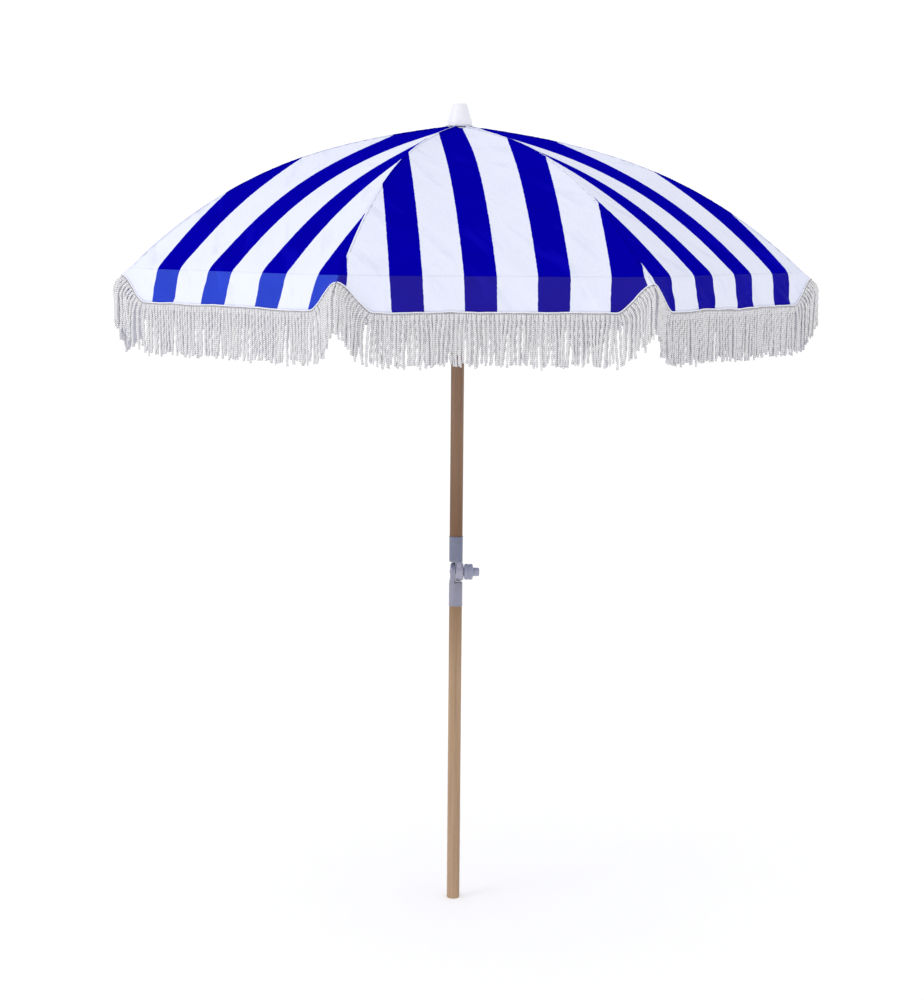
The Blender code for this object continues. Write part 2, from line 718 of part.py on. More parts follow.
def saddle_mesh():
    """A collar on the rib with a lug below it, whose pin the stretcher turns on. Origin: the rib's hinge."""
    centre = Vector((SADDLE_RADIUS - HUB[0], 0, rib_height(SADDLE_RADIUS) - HUB[1]))
    along = Vector((cos(SADDLE_FALL), 0, -sin(SADDLE_FALL)))
    pin = Vector((SADDLE_PIN[0] - HUB[0], 0, SADDLE_PIN[1] - HUB[1]))
    half = along * SADDLE_LENGTH / 2
    lug_half_thick = 0.0018
    lug_round = 0.0034
    cheeks = lug_half_thick + GAP + CHANNEL_WALL + 0.0011
    outline = [(-0.006, SADDLE_PIN_DEPTH), (-lug_round, 0)]
    outline += [(-lug_round * cos(k * pi / 5), -lug_round * sin(k * pi / 5)) for k in (1, 2, 3, 4)]
    outline += [(lug_round, 0), (0.006, SADDLE_PIN_DEPTH)]
    plate = extruded(outline, -lug_half_thick, lug_half_thick)
    bmesh.ops.rotate(plate, matrix=Matrix.Rotation(-pi / 2, 3, "Z"), verts=plate.verts)
    bmesh.ops.rotate(plate, matrix=Matrix.Rotation(SADDLE_FALL, 3, "Y"), verts=plate.verts)
    bmesh.ops.translate(plate, vec=pin, verts=plate.verts)
    trunnion = rod(pin - Vector((0, cheeks, 0)), pin + Vector((0, cheeks, 0)), SADDLE_PIN_RADIUS, 10)
    collar = rod(centre - half, centre + half, SADDLE_SHELL, 16)
    bore = rod(centre - 2 * half, centre + 2 * half, ROD_RADIUS + 2 * GAP, 16)
    steps = [("UNION", plate), ("UNION", trunnion), ("DIFFERENCE", bore)]
    return combined(collar, steps, "rib_saddle")


def stretcher_mesh():
    """A steel channel with a round-ended fork at each end. Origin: the saddle's pin, the runner at -X."""
    wide, wall = CHANNEL_HALF_WIDTH, CHANNEL_WALL
    round_end = 0.0038
    reach = STRETCHER_LENGTH
    side = [(round_end * cos(t), round_end * sin(t)) for t in (-pi / 2, -pi / 4, 0, pi / 4, pi / 2)]
    outline = [(x, z) for x, z in side]
    outline += [(-CHANNEL_HEM, CHANNEL_TOP), (-reach + CHANNEL_HEM, CHANNEL_TOP)]
    outline += [(-reach - x, z) for x, z in side[::-1]]
    outline += [(-reach + CHANNEL_HEM, CHANNEL_BOTTOM), (-CHANNEL_HEM, CHANNEL_BOTTOM)]
    body = extruded(outline, -wide, wide)
    bmesh.ops.rotate(body, matrix=Matrix.Rotation(-pi / 2, 3, "Z"), verts=body.verts)
    inside = wide - wall
    trough = box((-reach - 0.02, -inside, CHANNEL_BOTTOM + wall), (0.02, inside, 0.02))
    web_cut = box((-CHANNEL_HEM, -inside, -0.02), (0.02, inside, 0))
    bore = EYE_BORE + 0.0004
    steps = [("DIFFERENCE", trough), ("DIFFERENCE", web_cut)]
    for out in (0, -reach):
        steps.append(("DIFFERENCE", rod((out, -0.01, 0), (out, 0.01, 0), bore, 12)))
    mesh = combined(body, steps, "stretcher")
    mesh.transform(Matrix.Rotation(-STRETCHER_RISE, 4, "Y"))
    return mesh


# Canopy cloth: flat chords between neighbouring ribs, drawn with the panel's middle along X


def eased(share):
    share = min(max(share, 0), 1)
    return share * share * (3 - 2 * share)


def sheet(outer, inner):
    """A closed solid between two grids of points."""
    bm = bmesh.new()
    grids = [[[bm.verts.new(p) for p in row] for row in grid] for grid in (outer, inner)]
    rows, columns = len(outer), len(outer[0])
    for grid in grids:
        for r in range(rows - 1):
            for c in range(columns - 1):
                bm.faces.new([grid[r][c], grid[r][c + 1], grid[r + 1][c + 1], grid[r + 1][c]])
    rim = [(0, c) for c in range(columns)] + [(r, columns - 1) for r in range(1, rows)]
    rim += [(rows - 1, c) for c in range(columns - 2, -1, -1)] + [(r, 0) for r in range(rows - 2, 0, -1)]
    for (r1, c1), (r2, c2) in zip(rim, rim[1:] + rim[:1]):
        bm.faces.new([grids[0][r1][c1], grids[0][r2][c2], grids[1][r2][c2], grids[1][r1][c1]])
    bmesh.ops.recalc_face_normals(bm, faces=bm.faces)
    return bm


def panel_mesh():
    """One panel between two ribs, from the top patch out to the fold. Its origin is on its hinge line."""
    stations = 9
    outer, inner = [], []
    for k in range(stations + 1):
        radius = PANEL_START + (VALANCE_RADIUS - PANEL_START) * k / stations
        half_chord = radius * CHORD_HALF - GAP
        x = radius * CHORD_MIDDLE - PANEL_HINGE[0]
        z = canopy_height(radius) - PANEL_HINGE[1]
        outer.append([Vector((x, y, z)) for y in (-half_chord, half_chord)])
        inner.append([p - Vector((0, 0, CANOPY_THICK)) for p in outer[-1]])
    return sheet(outer, inner)


def hem_point(across, drop):
    """A point so far across the panel and so far under its hem, counted from the middle of the fold.

    The hem is level, except that it is arched up to the rib's tip at each end.
    """
    half_chord = VALANCE_RADIUS * CHORD_HALF
    flat = eased((half_chord - abs(across)) / NOTCH_HALF_WIDTH)
    hem_drop = TIP_DROP + (VALANCE_DROP - TIP_DROP) * flat
    tip_out = (TIP_RADIUS - VALANCE_RADIUS) * CHORD_MIDDLE
    out = tip_out + (VALANCE_LEAN - tip_out) * flat
    spread = (TIP_RADIUS / VALANCE_RADIUS - 1) * (1 - flat)
    return Vector((out, across * (1 + spread), -hem_drop - drop))


def nearer_pole(point, thickness):
    """The point on the inner side of the flap, straight towards the pole's axis."""
    outwards = Vector((FOLD[0] + point.x, point.y, 0)).normalized()
    return point - outwards * thickness


def valance_mesh():
    """The flap below the fold, with its fringe, as one plain solid. Origin: the middle of the fold."""
    half_chord = VALANCE_RADIUS * CHORD_HALF - 2 * GAP
    arch = [half_chord - NOTCH_HALF_WIDTH * k / 4 for k in range(5)]
    columns = [-y for y in arch] + [0] + arch[::-1]
    rows = [[Vector((0, y, -CANOPY_THICK - GAP)) for y in columns]]
    rows += [[hem_point(y, drop) for y in columns] for drop in (0, FRINGE_LENGTH)]
    thickness = (CANOPY_THICK, FRINGE_THICK, FRINGE_THICK)
    inner = [[nearer_pole(point, thick) for point in row] for row, thick in zip(rows, thickness)]
    return sheet(rows, inner)


def folding_pieces(steel, plastic, cloth, trim):
    rib = rib_mesh()
    saddle = saddle_mesh()
    stretcher = stretcher_mesh()
    panel = mesh_of(panel_mesh(), "canopy_panel")
    valance = mesh_of(valance_mesh(), "valance")
    for k in range(RIBS):
        turn = FIRST_RIB_ANGLE + 2 * HALF_PANEL * k
        hub = around(HUB, turn)
        placed(f"rib_{k + 1}", rib, steel, hub, turn)
        placed(f"rib_saddle_{k + 1}", saddle, plastic, hub, turn)
        placed(f"stretcher_{k + 1}", stretcher, steel, around(SADDLE_PIN, turn), turn)
        middle = turn + HALF_PANEL
        placed(f"canopy_panel_{k + 1}", panel, cloth, around(PANEL_HINGE, middle), middle)
        placed(f"valance_{k + 1}", valance, trim, around(FOLD, middle), middle)


def main():
    clear_scene()
    wood = material("beech", (0.42, 0.27, 0.16), 0.5)
    metal = material("painted_casting", (0.42, 0.42, 0.5), 0.4, 0.6)
    steel = material("zinc_steel", (0.6, 0.6, 0.62), 0.35, 0.9)
    knob_mat = material("grey_plastic", (0.4, 0.42, 0.5), 0.45)
    white = material("white_plastic", (0.85, 0.85, 0.88), 0.4)
    cloth = material("canopy_cloth", (0.02, 0.01, 0.4), 0.8)
    trim = material("fringe_cotton", (0.8, 0.79, 0.75), 0.9)
    pole_pieces(wood)
    tilt_pieces(metal, steel, knob_mat)
    crown_pieces(white, steel, cloth)
    runner_pieces(white, steel)
    catch_pieces(steel)
    folding_pieces(steel, white, cloth, trim)


main()
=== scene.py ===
"""Looks of a folding beach umbrella: striped canopy, fringed valance, wooden pole and clamped tilt joint.

Everything is in metres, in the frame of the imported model, with +Z up the pole. The cloth is shaped here in
code and not simulated, because a canopy stretched on its ribs has one shape.
"""

import json
from math import atan2, cos, exp, pi, radians, sin, sqrt, tan

import bmesh
import bpy
from mathutils import Matrix, Vector, noise


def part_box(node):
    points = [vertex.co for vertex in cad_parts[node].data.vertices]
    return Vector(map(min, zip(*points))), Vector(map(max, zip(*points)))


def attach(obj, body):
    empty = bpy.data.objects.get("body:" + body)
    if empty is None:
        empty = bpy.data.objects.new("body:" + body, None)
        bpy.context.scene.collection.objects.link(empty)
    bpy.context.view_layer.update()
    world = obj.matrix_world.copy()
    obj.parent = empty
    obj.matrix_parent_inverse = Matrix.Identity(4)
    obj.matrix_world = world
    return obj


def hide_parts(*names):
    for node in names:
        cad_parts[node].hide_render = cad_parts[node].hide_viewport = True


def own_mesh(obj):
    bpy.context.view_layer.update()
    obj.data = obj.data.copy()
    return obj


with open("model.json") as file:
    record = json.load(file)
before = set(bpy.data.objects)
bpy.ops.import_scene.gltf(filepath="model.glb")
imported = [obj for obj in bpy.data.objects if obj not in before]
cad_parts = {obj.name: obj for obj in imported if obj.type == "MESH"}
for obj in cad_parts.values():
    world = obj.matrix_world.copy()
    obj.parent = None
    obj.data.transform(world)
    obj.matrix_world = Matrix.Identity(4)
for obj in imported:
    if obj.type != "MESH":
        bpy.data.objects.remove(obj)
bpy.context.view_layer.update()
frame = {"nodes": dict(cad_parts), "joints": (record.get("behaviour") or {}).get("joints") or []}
JOINTS = {joint["name"]: joint for joint in frame["joints"]}
UP = Vector((0, 0, 1))

# The open canopy, as the frame holds it: its height falls with the radius and with the radius cubed
PANELS = 8
HALF_ANGLE = pi / PANELS
CANOPY_TOP = 2.108
CANOPY_SLOPE = 0.1432
CANOPY_CURVE = 0.3204
PANEL_START = 0.0363
FOLD_RADIUS = 0.907  # along a rib, where the valance begins
TIP_RADIUS = 0.927
TIP_DROP = 0.0155  # from the fold to the hem at a rib's tip
VALANCE_DROP = 0.08  # and where the hem is level
VALANCE_LEAN = 0.016  # how far outwards the hem hangs
NOTCH_HALF_WIDTH = 0.075  # of the arch in the hem at a rib's tip
HEM_WAVE = 0.003  # up and down
BROAD_FOLD, SMALL_FOLD = 0.006, 0.0045  # in and out, at the hem
FOLD_ROUNDING = 0.015  # from the fold to where its curve begins, along the cloth
FOLD_TURN = radians(35)
CLOTH_THICK = 0.0009

STRIPE_PERIOD = 0.17
BLUE_SHARE = 0.445
# How the panels in front were cut: the middle of a blue stripe across the panel, the stripes' stretch, and
# how far they drift across the valance
STRIPE_CUT = {5: (-0.0325, 1.038, 0.009), 6: (-0.0332, 0.979, 0.0), 7: (0.0585, 1.038, 0.009)}
USUAL_CUT = (-0.04, 1.0, 0.004)
STRIPE_WOBBLE = 0.0012  # of a stripe's edge, to either side
STRIPE_BLUR = 0.003  # of a stripe's edge, as a share of the period
THREAD_PITCH = 0.0011

PANEL_SAG = 0.021  # in the middle of a panel, under the straight line from rib to rib
PUCKER, PUCKER_PITCH, PUCKER_REACH = 0.0007, 0.027, 0.018  # of the cloth beside a seam's stitches
LOOSENESS, LOOSE_REACH, LOOSE_START = 0.005, 0.05, 0.025  # of the cloth near the fold
UNEVENNESS = 0.0018  # of a whole panel

HEADING_PITCH = 0.0056
CORD_SPACING = 0.005
CORD_RADIUS = 0.0037
CORD_LENGTH = 0.116
CORNER_FLARE = 1.25  # how far the cords near a rib's tip start outwards
CORD_RINGS = 30
CORD_SIDES = 6
CORD_JITTER = 0.3  # of the space between two cords
CORD_UNEVENNESS = 0.13  # of the length
CORD_ROWS_APART = 0.0038
CORD_TWISTS = 6  # half turns of the two plies from end to end
LEAN, BEND, CURL, TAIL, SWAY = 0.24, 0.11, 0.07, 0.3, 0.1  # a cord's slopes sideways, and in and out
HEM_END = 1e-5  # nothing is placed nearer than this to the hem's ends


def canopy_height(radius):
    """The height of a rib's line at this distance from the pole's axis."""
    return CANOPY_TOP - CANOPY_SLOPE * radius - CANOPY_CURVE * radius**3


def canopy_fall(radius):
    """The angle at which a rib's line falls there."""
    return atan2(CANOPY_SLOPE + 3 * CANOPY_CURVE * radius**2, 1)


# Materials


class Nodes:
    """A material's nodes, made and linked in one call each."""

    def __init__(self, name):
        self.material = bpy.data.materials.new(name)
        self.material.use_nodes = True
        self.tree = self.material.node_tree
        self.shader = self.tree.nodes["Principled BSDF"]

    def add(self, kind, values=(), **settings):
        """A node of this kind, with what its sockets take by name or number."""
        node = self.tree.nodes.new(kind)
        for key, value in settings.items():
            setattr(node, key, value)
        for socket, value in dict(values).items():
            self.give(node.inputs[socket], value)
        return node

    def give(self, socket, value):
        """Links a socket to another, or sets it."""
        if isinstance(value, bpy.types.NodeSocket):
            self.tree.links.new(value, socket)
        else:
            socket.default_value = value

    def shade(self, **values):
        """Gives the shader's sockets these values, by name."""
        for name, value in values.items():
            self.give(self.shader.inputs[name.replace("_", " ")], value)

    def math(self, operation, *values):
        node = self.add("ShaderNodeMath", enumerate(values), operation=operation)
        return node.outputs[0]

    def mix(self, share, first, second):
        """The first colour, or the second where the share is 1."""
        node = self.add("ShaderNodeMix", data_type="RGBA")
        self.give(node.inputs[0], share)
        self.give(node.inputs[6], first)
        self.give(node.inputs[7], second)
        return node.outputs[2]

    def ramp(self, value, low, high, start=0.0, end=1.0):
        """Goes from start to end as the value goes from low to high."""
        values = {0: value, 1: low, 2: high, 3: start, 4: end}
        return self.add("ShaderNodeMapRange", values).outputs[0]

    def noise(self, place, scale, detail=2.0, roughness=0.5):
        values = {"Vector": place, "Scale": scale, "Detail": detail, "Roughness": roughness}
        return self.add("ShaderNodeTexNoise", values).outputs["Fac"]

    def stretched(self, place, scale):
        return self.add("ShaderNodeMapping", {"Vector": place, "Scale": scale}).outputs[0]

    def bump(self, height, distance, strength=1.0, normal=None):
        """The normal of a surface with this relief, on top of any earlier relief."""
        node = self.add("ShaderNodeBump", {"Height": height, "Distance": distance, "Strength": strength})
        if normal is not None:
            self.give(node.inputs["Normal"], normal)
        return node.outputs[0]

    def place(self, kind="Object"):
        return self.add("ShaderNodeTexCoord").outputs[kind]

    def split(self, vector):
        return self.add("ShaderNodeSeparateXYZ", {0: vector}).outputs


def rgb(red, green, blue):
    """A colour given as sRGB from 0 to 255, as the shader's linear values."""
    linear = [((c / 255 + 0.055) / 1.055) ** 2.4 if c > 10 else c / 255 / 12.92 for c in (red, green, blue)]
    return (*linear, 1)


def toned(colour, factor, lift=0.0):
    """A colour times a factor, and lifted by a little white."""
    return tuple(factor * c + lift for c in colour[:3]) + (1,)


BLUE = rgb(4, 0, 162)
WHITE = rgb(234, 238, 255)
# The flaps' blue is a little duller than the panels'; the flap of panel 5 is painted lighter, as light on that
# side, and that of panel 7 darker, as shade: (colour, specular level)
LIT_AND_SHADED_FLAP_BLUE = {5: (rgb(32, 60, 192), 0.12), 7: (rgb(8, 0, 152), 0.04)}
USUAL_FLAP_BLUE = (rgb(22, 10, 146), 0.12)


def weave_height(nodes, across, along, pitch):
    """Threads that pass over and under each other, from 0 to 1."""
    warp = nodes.math("SINE", nodes.math("MULTIPLY", across, 2 * pi / pitch))
    weft = nodes.math("SINE", nodes.math("MULTIPLY", along, 2 * pi / pitch))
    return nodes.ramp(nodes.math("MULTIPLY", warp, weft), -1, 1)


def canvas_material(name, dye_and_painted_light, specular):
    """Plain-woven canvas, its stripes dyed in: the UV map holds metres across and along each panel."""
    nodes = Nodes(name)
    uv = nodes.place("UV")
    across, along, _ = nodes.split(uv)
    edge_noise = nodes.noise(nodes.stretched(uv, (4, 30, 1)), 3.0)
    wobble = nodes.ramp(edge_noise, 0, 1, -STRIPE_WOBBLE, STRIPE_WOBBLE)
    turns = nodes.math("DIVIDE", nodes.math("ADD", across, wobble), STRIPE_PERIOD)
    centred = nodes.math("ABSOLUTE", nodes.math("SUBTRACT", turns, nodes.math("ROUND", turns)))
    edge = BLUE_SHARE / 2
    blue_share = nodes.ramp(centred, edge + STRIPE_BLUR, edge - STRIPE_BLUR)
    # Slow changes of tone, and slubs, which are thicker threads along the panel
    patches = nodes.ramp(nodes.noise(uv, 9.0, 3.0), 0.3, 0.7)
    slubs = nodes.noise(nodes.stretched(uv, (900, 25, 1)), 1.0, 1.0)
    # The blue given is the dye, and for the flaps of panels 5 and 7 it also holds painted light and shade
    blue = nodes.mix(patches, dye_and_painted_light, toned(dye_and_painted_light, 1.12))
    blue = nodes.mix(nodes.ramp(slubs, 0.55, 0.8, 0, 0.3), blue, toned(dye_and_painted_light, 1.3, 0.001))
    white = nodes.mix(patches, WHITE, rgb(231, 235, 253))
    white = nodes.mix(nodes.ramp(slubs, 0.55, 0.8, 0, 0.4), white, rgb(243, 245, 253))
    colour = nodes.mix(blue_share, white, blue)
    # Faint slanting creases, with painted light and shade: a little lighter in the blue and a little darker in
    # the white
    slanting = nodes.add("ShaderNodeMapping", {"Vector": uv, "Rotation": (0, 0, 0.6)}).outputs[0]
    folds = nodes.noise(nodes.stretched(slanting, (22, 5, 1)), 1.0, 3.0, 0.6)
    crease_light_and_shade = nodes.mix(blue_share, rgb(216, 221, 243), toned(dye_and_painted_light, 1.35, 0.003))
    colour = nodes.mix(nodes.ramp(folds, 0.56, 0.7, 0, 0.5), colour, crease_light_and_shade)
    normal = nodes.bump(weave_height(nodes, across, along, THREAD_PITCH), 0.00025, 0.6)
    normal = nodes.bump(nodes.noise(uv, 35.0, 3.0), 0.002, 0.25, normal)
    normal = nodes.bump(folds, 0.01, 0.5, normal)
    nodes.shade(Base_Color=colour, Roughness=0.6, Specular_IOR_Level=specular, Normal=normal)
    return nodes.material


def cotton_material(name, light, dark, pitch):
    """Twisted cotton cords: the UV map holds turns round a cord, and metres along it."""
    nodes = Nodes(name)
    uv = nodes.place("UV")
    around, along, _ = nodes.split(uv)
    turns = nodes.math("ADD", nodes.math("DIVIDE", along, pitch), nodes.math("MULTIPLY", around, 2))
    plies = nodes.ramp(nodes.math("SINE", nodes.math("MULTIPLY", turns, 2 * pi)), -1, 1)
    tone = nodes.noise(nodes.place(), 60.0, 2.0)
    fibres = nodes.noise(nodes.place(), 2500.0, 2.0)
    colour = nodes.mix(nodes.ramp(tone, 0.3, 0.7), light, dark)
    # Painted shade in the groove between the two plies
    colour = nodes.mix(nodes.ramp(plies, 0.0, 0.42, 0.75, 0.0), colour, rgb(158, 156, 162))
    normal = nodes.bump(plies, 0.0012, 0.9)
    normal = nodes.bump(fibres, 0.0003, 0.4, normal)
    nodes.shade(Base_Color=colour, Roughness=0.9, Sheen_Weight=0.6, Specular_IOR_Level=0.2, Normal=normal)
    return nodes.material


def plain_tape_material():
    """White cotton tape with a fine twill."""
    nodes = Nodes("white_tape")
    place = nodes.place()
    tone = nodes.noise(place, 70.0, 3.0)
    colour = nodes.mix(nodes.ramp(tone, 0.3, 0.7), rgb(244, 245, 253), rgb(230, 231, 242))
    fibres = nodes.noise(place, 1800.0, 2.0)
    nodes.shade(Base_Color=colour, Roughness=0.85, Normal=nodes.bump(fibres, 0.0003, 0.5))
    return nodes.material


def webbing_material():
    """The fringe's woven heading: cords side by side, bound by rows of thread."""
    nodes = Nodes("fringe_heading")
    uv = nodes.place("UV")
    across, along, _ = nodes.split(uv)
    cords = nodes.math("COSINE", nodes.math("MULTIPLY", across, 2 * pi / HEADING_PITCH))
    row_pitch = 0.0036
    rows = nodes.math("SINE", nodes.math("MULTIPLY", along, 2 * pi / row_pitch))
    height = nodes.ramp(nodes.math("ADD", cords, nodes.math("MULTIPLY", rows, 0.5)), -1.5, 1.5)
    tone = nodes.noise(uv, 50.0, 2.0)
    # Painted shadow in the crease under the hem
    painted_crease_shadow = nodes.ramp(along, 0.0055, 0.001, 0, 0.65)  # in the crease under the hem
    colour = nodes.mix(nodes.ramp(tone, 0.3, 0.7), rgb(238, 237, 243), rgb(208, 206, 213))
    # Painted shade in the grooves between the cords and the rows of thread
    colour = nodes.mix(nodes.ramp(height, 0.0, 0.6, 0.9, 0.0), colour, rgb(120, 117, 122))
    colour = nodes.mix(painted_crease_shadow, colour, rgb(112, 108, 114))
    normal = nodes.bump(height, 0.001, 0.8)
    nodes.shade(Base_Color=colour, Roughness=0.9, Sheen_Weight=0.15, Normal=normal)
    return nodes.material


def wood_material(name, light, dark, darkest, unshaded):
    """Straight-grained hardwood along Z, with pores and a thin varnish.

    It has painted shade, darker towards the tilt joint: most at the darkest height, and none from the unshaded
    height on.
    """
    nodes = Nodes(name)
    place = nodes.place()
    bands = nodes.noise(nodes.stretched(place, (60, 60, 1.6)), 1.5, 3.0, 0.6)
    fibres = nodes.noise(nodes.stretched(place, (900, 900, 12)), 1.0, 3.0, 0.6)
    pores = nodes.noise(nodes.stretched(place, (1600, 1600, 60)), 1.0, 1.0)
    patches = nodes.noise(nodes.stretched(place, (6, 6, 2.5)), 1.0, 2.0)
    colour = nodes.mix(nodes.ramp(bands, 0.3, 0.7), light, dark)
    colour = nodes.mix(nodes.ramp(fibres, 0.35, 0.75, 0, 0.35), colour, dark)
    colour = nodes.mix(nodes.ramp(pores, 0.62, 0.75, 0, 0.35), colour, toned(dark, 0.55))
    colour = nodes.mix(nodes.ramp(patches, 0.35, 0.75, 0, 0.25), colour, light)
    # Painted shade: the wood is darker towards the tilt joint
    painted_shade = nodes.ramp(nodes.split(place)[2], darkest, unshaded, 0.65, 0.0)
    colour = nodes.mix(painted_shade, colour, (0.62 * dark[0], 0.52 * dark[1], 0.42 * dark[2], 1))
    height = nodes.math("SUBTRACT", nodes.math("MULTIPLY", fibres, 0.5), nodes.ramp(pores, 0.6, 0.75))
    normal = nodes.bump(height, 0.0003, 0.5)
    roughness = nodes.ramp(fibres, 0.3, 0.7, 0.5, 0.62)
    nodes.shade(Base_Color=colour, Roughness=roughness, Normal=normal, Specular_IOR_Level=0.3)
    return nodes.material


def coated_material(name, colour, worn, roughness, metallic=0.0, grain=0.0004, foot=None):
    """Plated metal: a fine cast grain, and scuffs that show the worn colour.

    A foot is (colour, low, high): the metal has that colour below the low height, and its own above the high.
    """
    nodes = Nodes(name)
    place = nodes.place()
    grains = nodes.noise(place, 900.0, 3.0)
    patches = nodes.noise(place, 45.0, 3.0)
    scuffs = nodes.noise(nodes.stretched(place, (300, 300, 60)), 1.0, 4.0, 0.7)
    shown = nodes.mix(nodes.ramp(patches, 0.35, 0.7, 0, 0.4), colour, toned(colour, 0.82))
    if foot:
        foot_colour, low, high = foot
        shown = nodes.mix(nodes.ramp(nodes.split(place)[2], low, high), foot_colour, shown)
    shown = nodes.mix(nodes.ramp(scuffs, 0.66, 0.74, 0, 0.5), shown, worn)
    normal = nodes.bump(grains, grain, 0.3)
    rough = nodes.ramp(patches, 0.3, 0.7, roughness - 0.06, roughness + 0.08)
    nodes.shade(Base_Color=shown, Roughness=rough, Metallic=metallic, Normal=normal)
    return nodes.material


def moulded_material(name, colour, roughness):
    """Moulded plastic: a faint spark-eroded grain and slow changes of gloss."""
    nodes = Nodes(name)
    place = nodes.place()
    grain = nodes.noise(place, 1400.0, 2.0)
    patches = nodes.noise(place, 30.0, 2.0)
    shown = nodes.mix(nodes.ramp(patches, 0.35, 0.7, 0, 0.5), colour, toned(colour, 0.9))
    normal = nodes.bump(grain, 0.0002, 0.25)
    rough = nodes.ramp(patches, 0.3, 0.7, roughness - 0.05, roughness + 0.07)
    nodes.shade(Base_Color=shown, Roughness=rough, Normal=normal)
    return nodes.material


# Mesh helpers


def add_object(name, mesh, material, body):
    """A piece that rides on a body."""
    mesh.materials.append(material)
    obj = bpy.data.objects.new(name, mesh)
    bpy.context.scene.collection.objects.link(obj)
    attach(obj, body)
    return obj


def mesh_from(name, points, faces, uvs):
    """A smooth mesh with a UV map, from points, faces and one (u, v) for each point."""
    mesh = bpy.data.meshes.new(name)
    mesh.from_pydata(points, [], faces)
    layer = mesh.uv_layers.new(name="cloth")
    flat = [value for loop in mesh.loops for value in uvs[loop.vertex_index]]
    layer.data.foreach_set("uv", flat)
    mesh.shade_smooth()
    mesh.update()
    return mesh


def grid_faces(rows, columns, start=0):
    """The faces of a grid of points."""
    faces = []
    for r in range(rows - 1):
        for c in range(columns - 1):
            first = start + r * columns + c
            faces.append((first, first + 1, first + columns + 1, first + columns))
    return faces


def tube_faces(rings, sides, start=0):
    """The faces of a tube of rings, closed at either end."""
    faces = []
    for r in range(rings - 1):
        low, high = start + r * sides, start + (r + 1) * sides
        for k in range(sides):
            after = (k + 1) % sides
            faces.append((low + k, low + after, high + after, high + k))
    last = start + (rings - 1) * sides
    faces.append(tuple(start + k for k in range(sides))[::-1])
    faces.append(tuple(last + k for k in range(sides)))
    return faces


def thicken(obj, thickness):
    """Gives a sheet its thickness, on the inside."""
    solid = obj.modifiers.new("thickness", "SOLIDIFY")
    solid.thickness = thickness
    solid.offset = -1.0


# Panels


class Panel:
    """One panel: its directions out from the pole and across to the right, its hinges and its cloth's cut."""

    def __init__(self, number):
        self.number = number
        self.across = Vector(JOINTS[f"panel_{number}_fold"]["axis"])
        self.out = self.across.cross(UP)
        self.fold = Vector(JOINTS[f"valance_{number}_hang"]["pos_m"])
        self.hinge = Vector(JOINTS[f"panel_{number}_fold"]["pos_m"])
        self.cut, self.stretch, self.slant = STRIPE_CUT.get(number, USUAL_CUT)
        self.ribs = (f"rib_{number}", f"rib_{number % PANELS + 1}")

    def point(self, out, across, height):
        return self.out * out + self.across * across + UP * height

    def stripe(self, across):
        """Where this place across the panel lies on the striped cloth."""
        return (across - self.cut) / self.stretch


def corner(across):
    """From 0 at a rib to 1 where the hem is level: the arch in the hem."""
    half = FOLD_RADIUS * sin(HALF_ANGLE)
    share = min(max((half - abs(across)) / NOTCH_HALF_WIDTH, 0), 1)
    return share * share * (3 - 2 * share)


def fold_rounding(distance):
    """How far the fold's rounding moves the cloth inwards, and along itself away from the fold."""
    curve_radius = FOLD_ROUNDING / tan(FOLD_TURN / 2)
    before = max(0, FOLD_ROUNDING - distance)
    share = curve_radius * sin(FOLD_TURN / 2) / FOLD_ROUNDING
    return curve_radius - sqrt(curve_radius**2 - (before * share) ** 2), before * (1 - share)


def panel_surface(panel, radius, share):
    """The point of a panel at a rib radius, from its left seam (-1) to its right seam (1)."""
    half = radius * sin(HALF_ANGLE)
    middle = 1 - share * share
    fall = canopy_fall(radius)
    across = half * share
    from_seam = half * (1 - abs(share))
    from_fold = FOLD_RADIUS - radius
    tension = middle * PANEL_SAG * sin(pi * min(1, radius / FOLD_RADIUS)) ** 0.8
    pucker = PUCKER * sin(2 * pi * radius / PUCKER_PITCH + 3 * share) * exp(-from_seam / PUCKER_REACH)
    loose = LOOSENESS * exp(-from_fold / LOOSE_REACH) * middle * min(1, from_fold / LOOSE_START)
    ripple = loose * noise.noise(Vector((across * 16, radius * 9, panel.number * 7.3)))
    drift = UNEVENNESS * middle * noise.noise(Vector((across * 5, radius * 4, panel.number * 3.1)))
    inwards, back = fold_rounding(from_fold / cos(fall))
    flat = corner(FOLD_RADIUS * sin(HALF_ANGLE) * share)
    sink = tension - pucker * min(1, from_fold / 0.01) - ripple
    sink = sink - drift * min(1, from_fold / 0.05) + inwards * flat
    out = radius * cos(HALF_ANGLE) - sink * sin(fall) - back * flat * cos(fall)
    return panel.point(out, across, canopy_height(radius) - sink * cos(fall) + back * flat * sin(fall))


def arc_length(radius):
    """How far it is along a rib from the pole's axis to this radius."""
    steps = 40
    length = 0
    for k in range(steps):
        middle = radius * (k + 0.5) / steps
        slope = CANOPY_SLOPE + 3 * CANOPY_CURVE * middle**2
        length += radius / steps * sqrt(1 + slope * slope)
    return length


def make_panel(panel, material):
    """The cloth of one panel, with closer rows where it comes to the fold."""
    columns, wide_rows, close_rows, close = 61, 64, 20, 0.06
    points, uvs = [], []
    last = FOLD_RADIUS - close
    radii = [PANEL_START + (last - PANEL_START) * r / wide_rows for r in range(wide_rows)]
    radii += [last + close * r / close_rows for r in range(close_rows + 1)]
    rows = len(radii)
    for radius in radii:
        along = arc_length(radius)
        for c in range(columns):
            share = 2 * c / (columns - 1) - 1
            points.append(panel_surface(panel, radius, share))
            uvs.append((panel.stripe(radius * sin(HALF_ANGLE) * share), along))
    name = f"canopy_panel_cloth_{panel.number}"
    mesh = mesh_from(name, points, grid_faces(rows, columns), uvs)
    mesh.flip_normals()
    obj = add_object(name, mesh, material, f"panel_{panel.number}")
    thicken(obj, CLOTH_THICK)
    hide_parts(f"canopy_panel_{panel.number}")
    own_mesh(obj)


# Valance


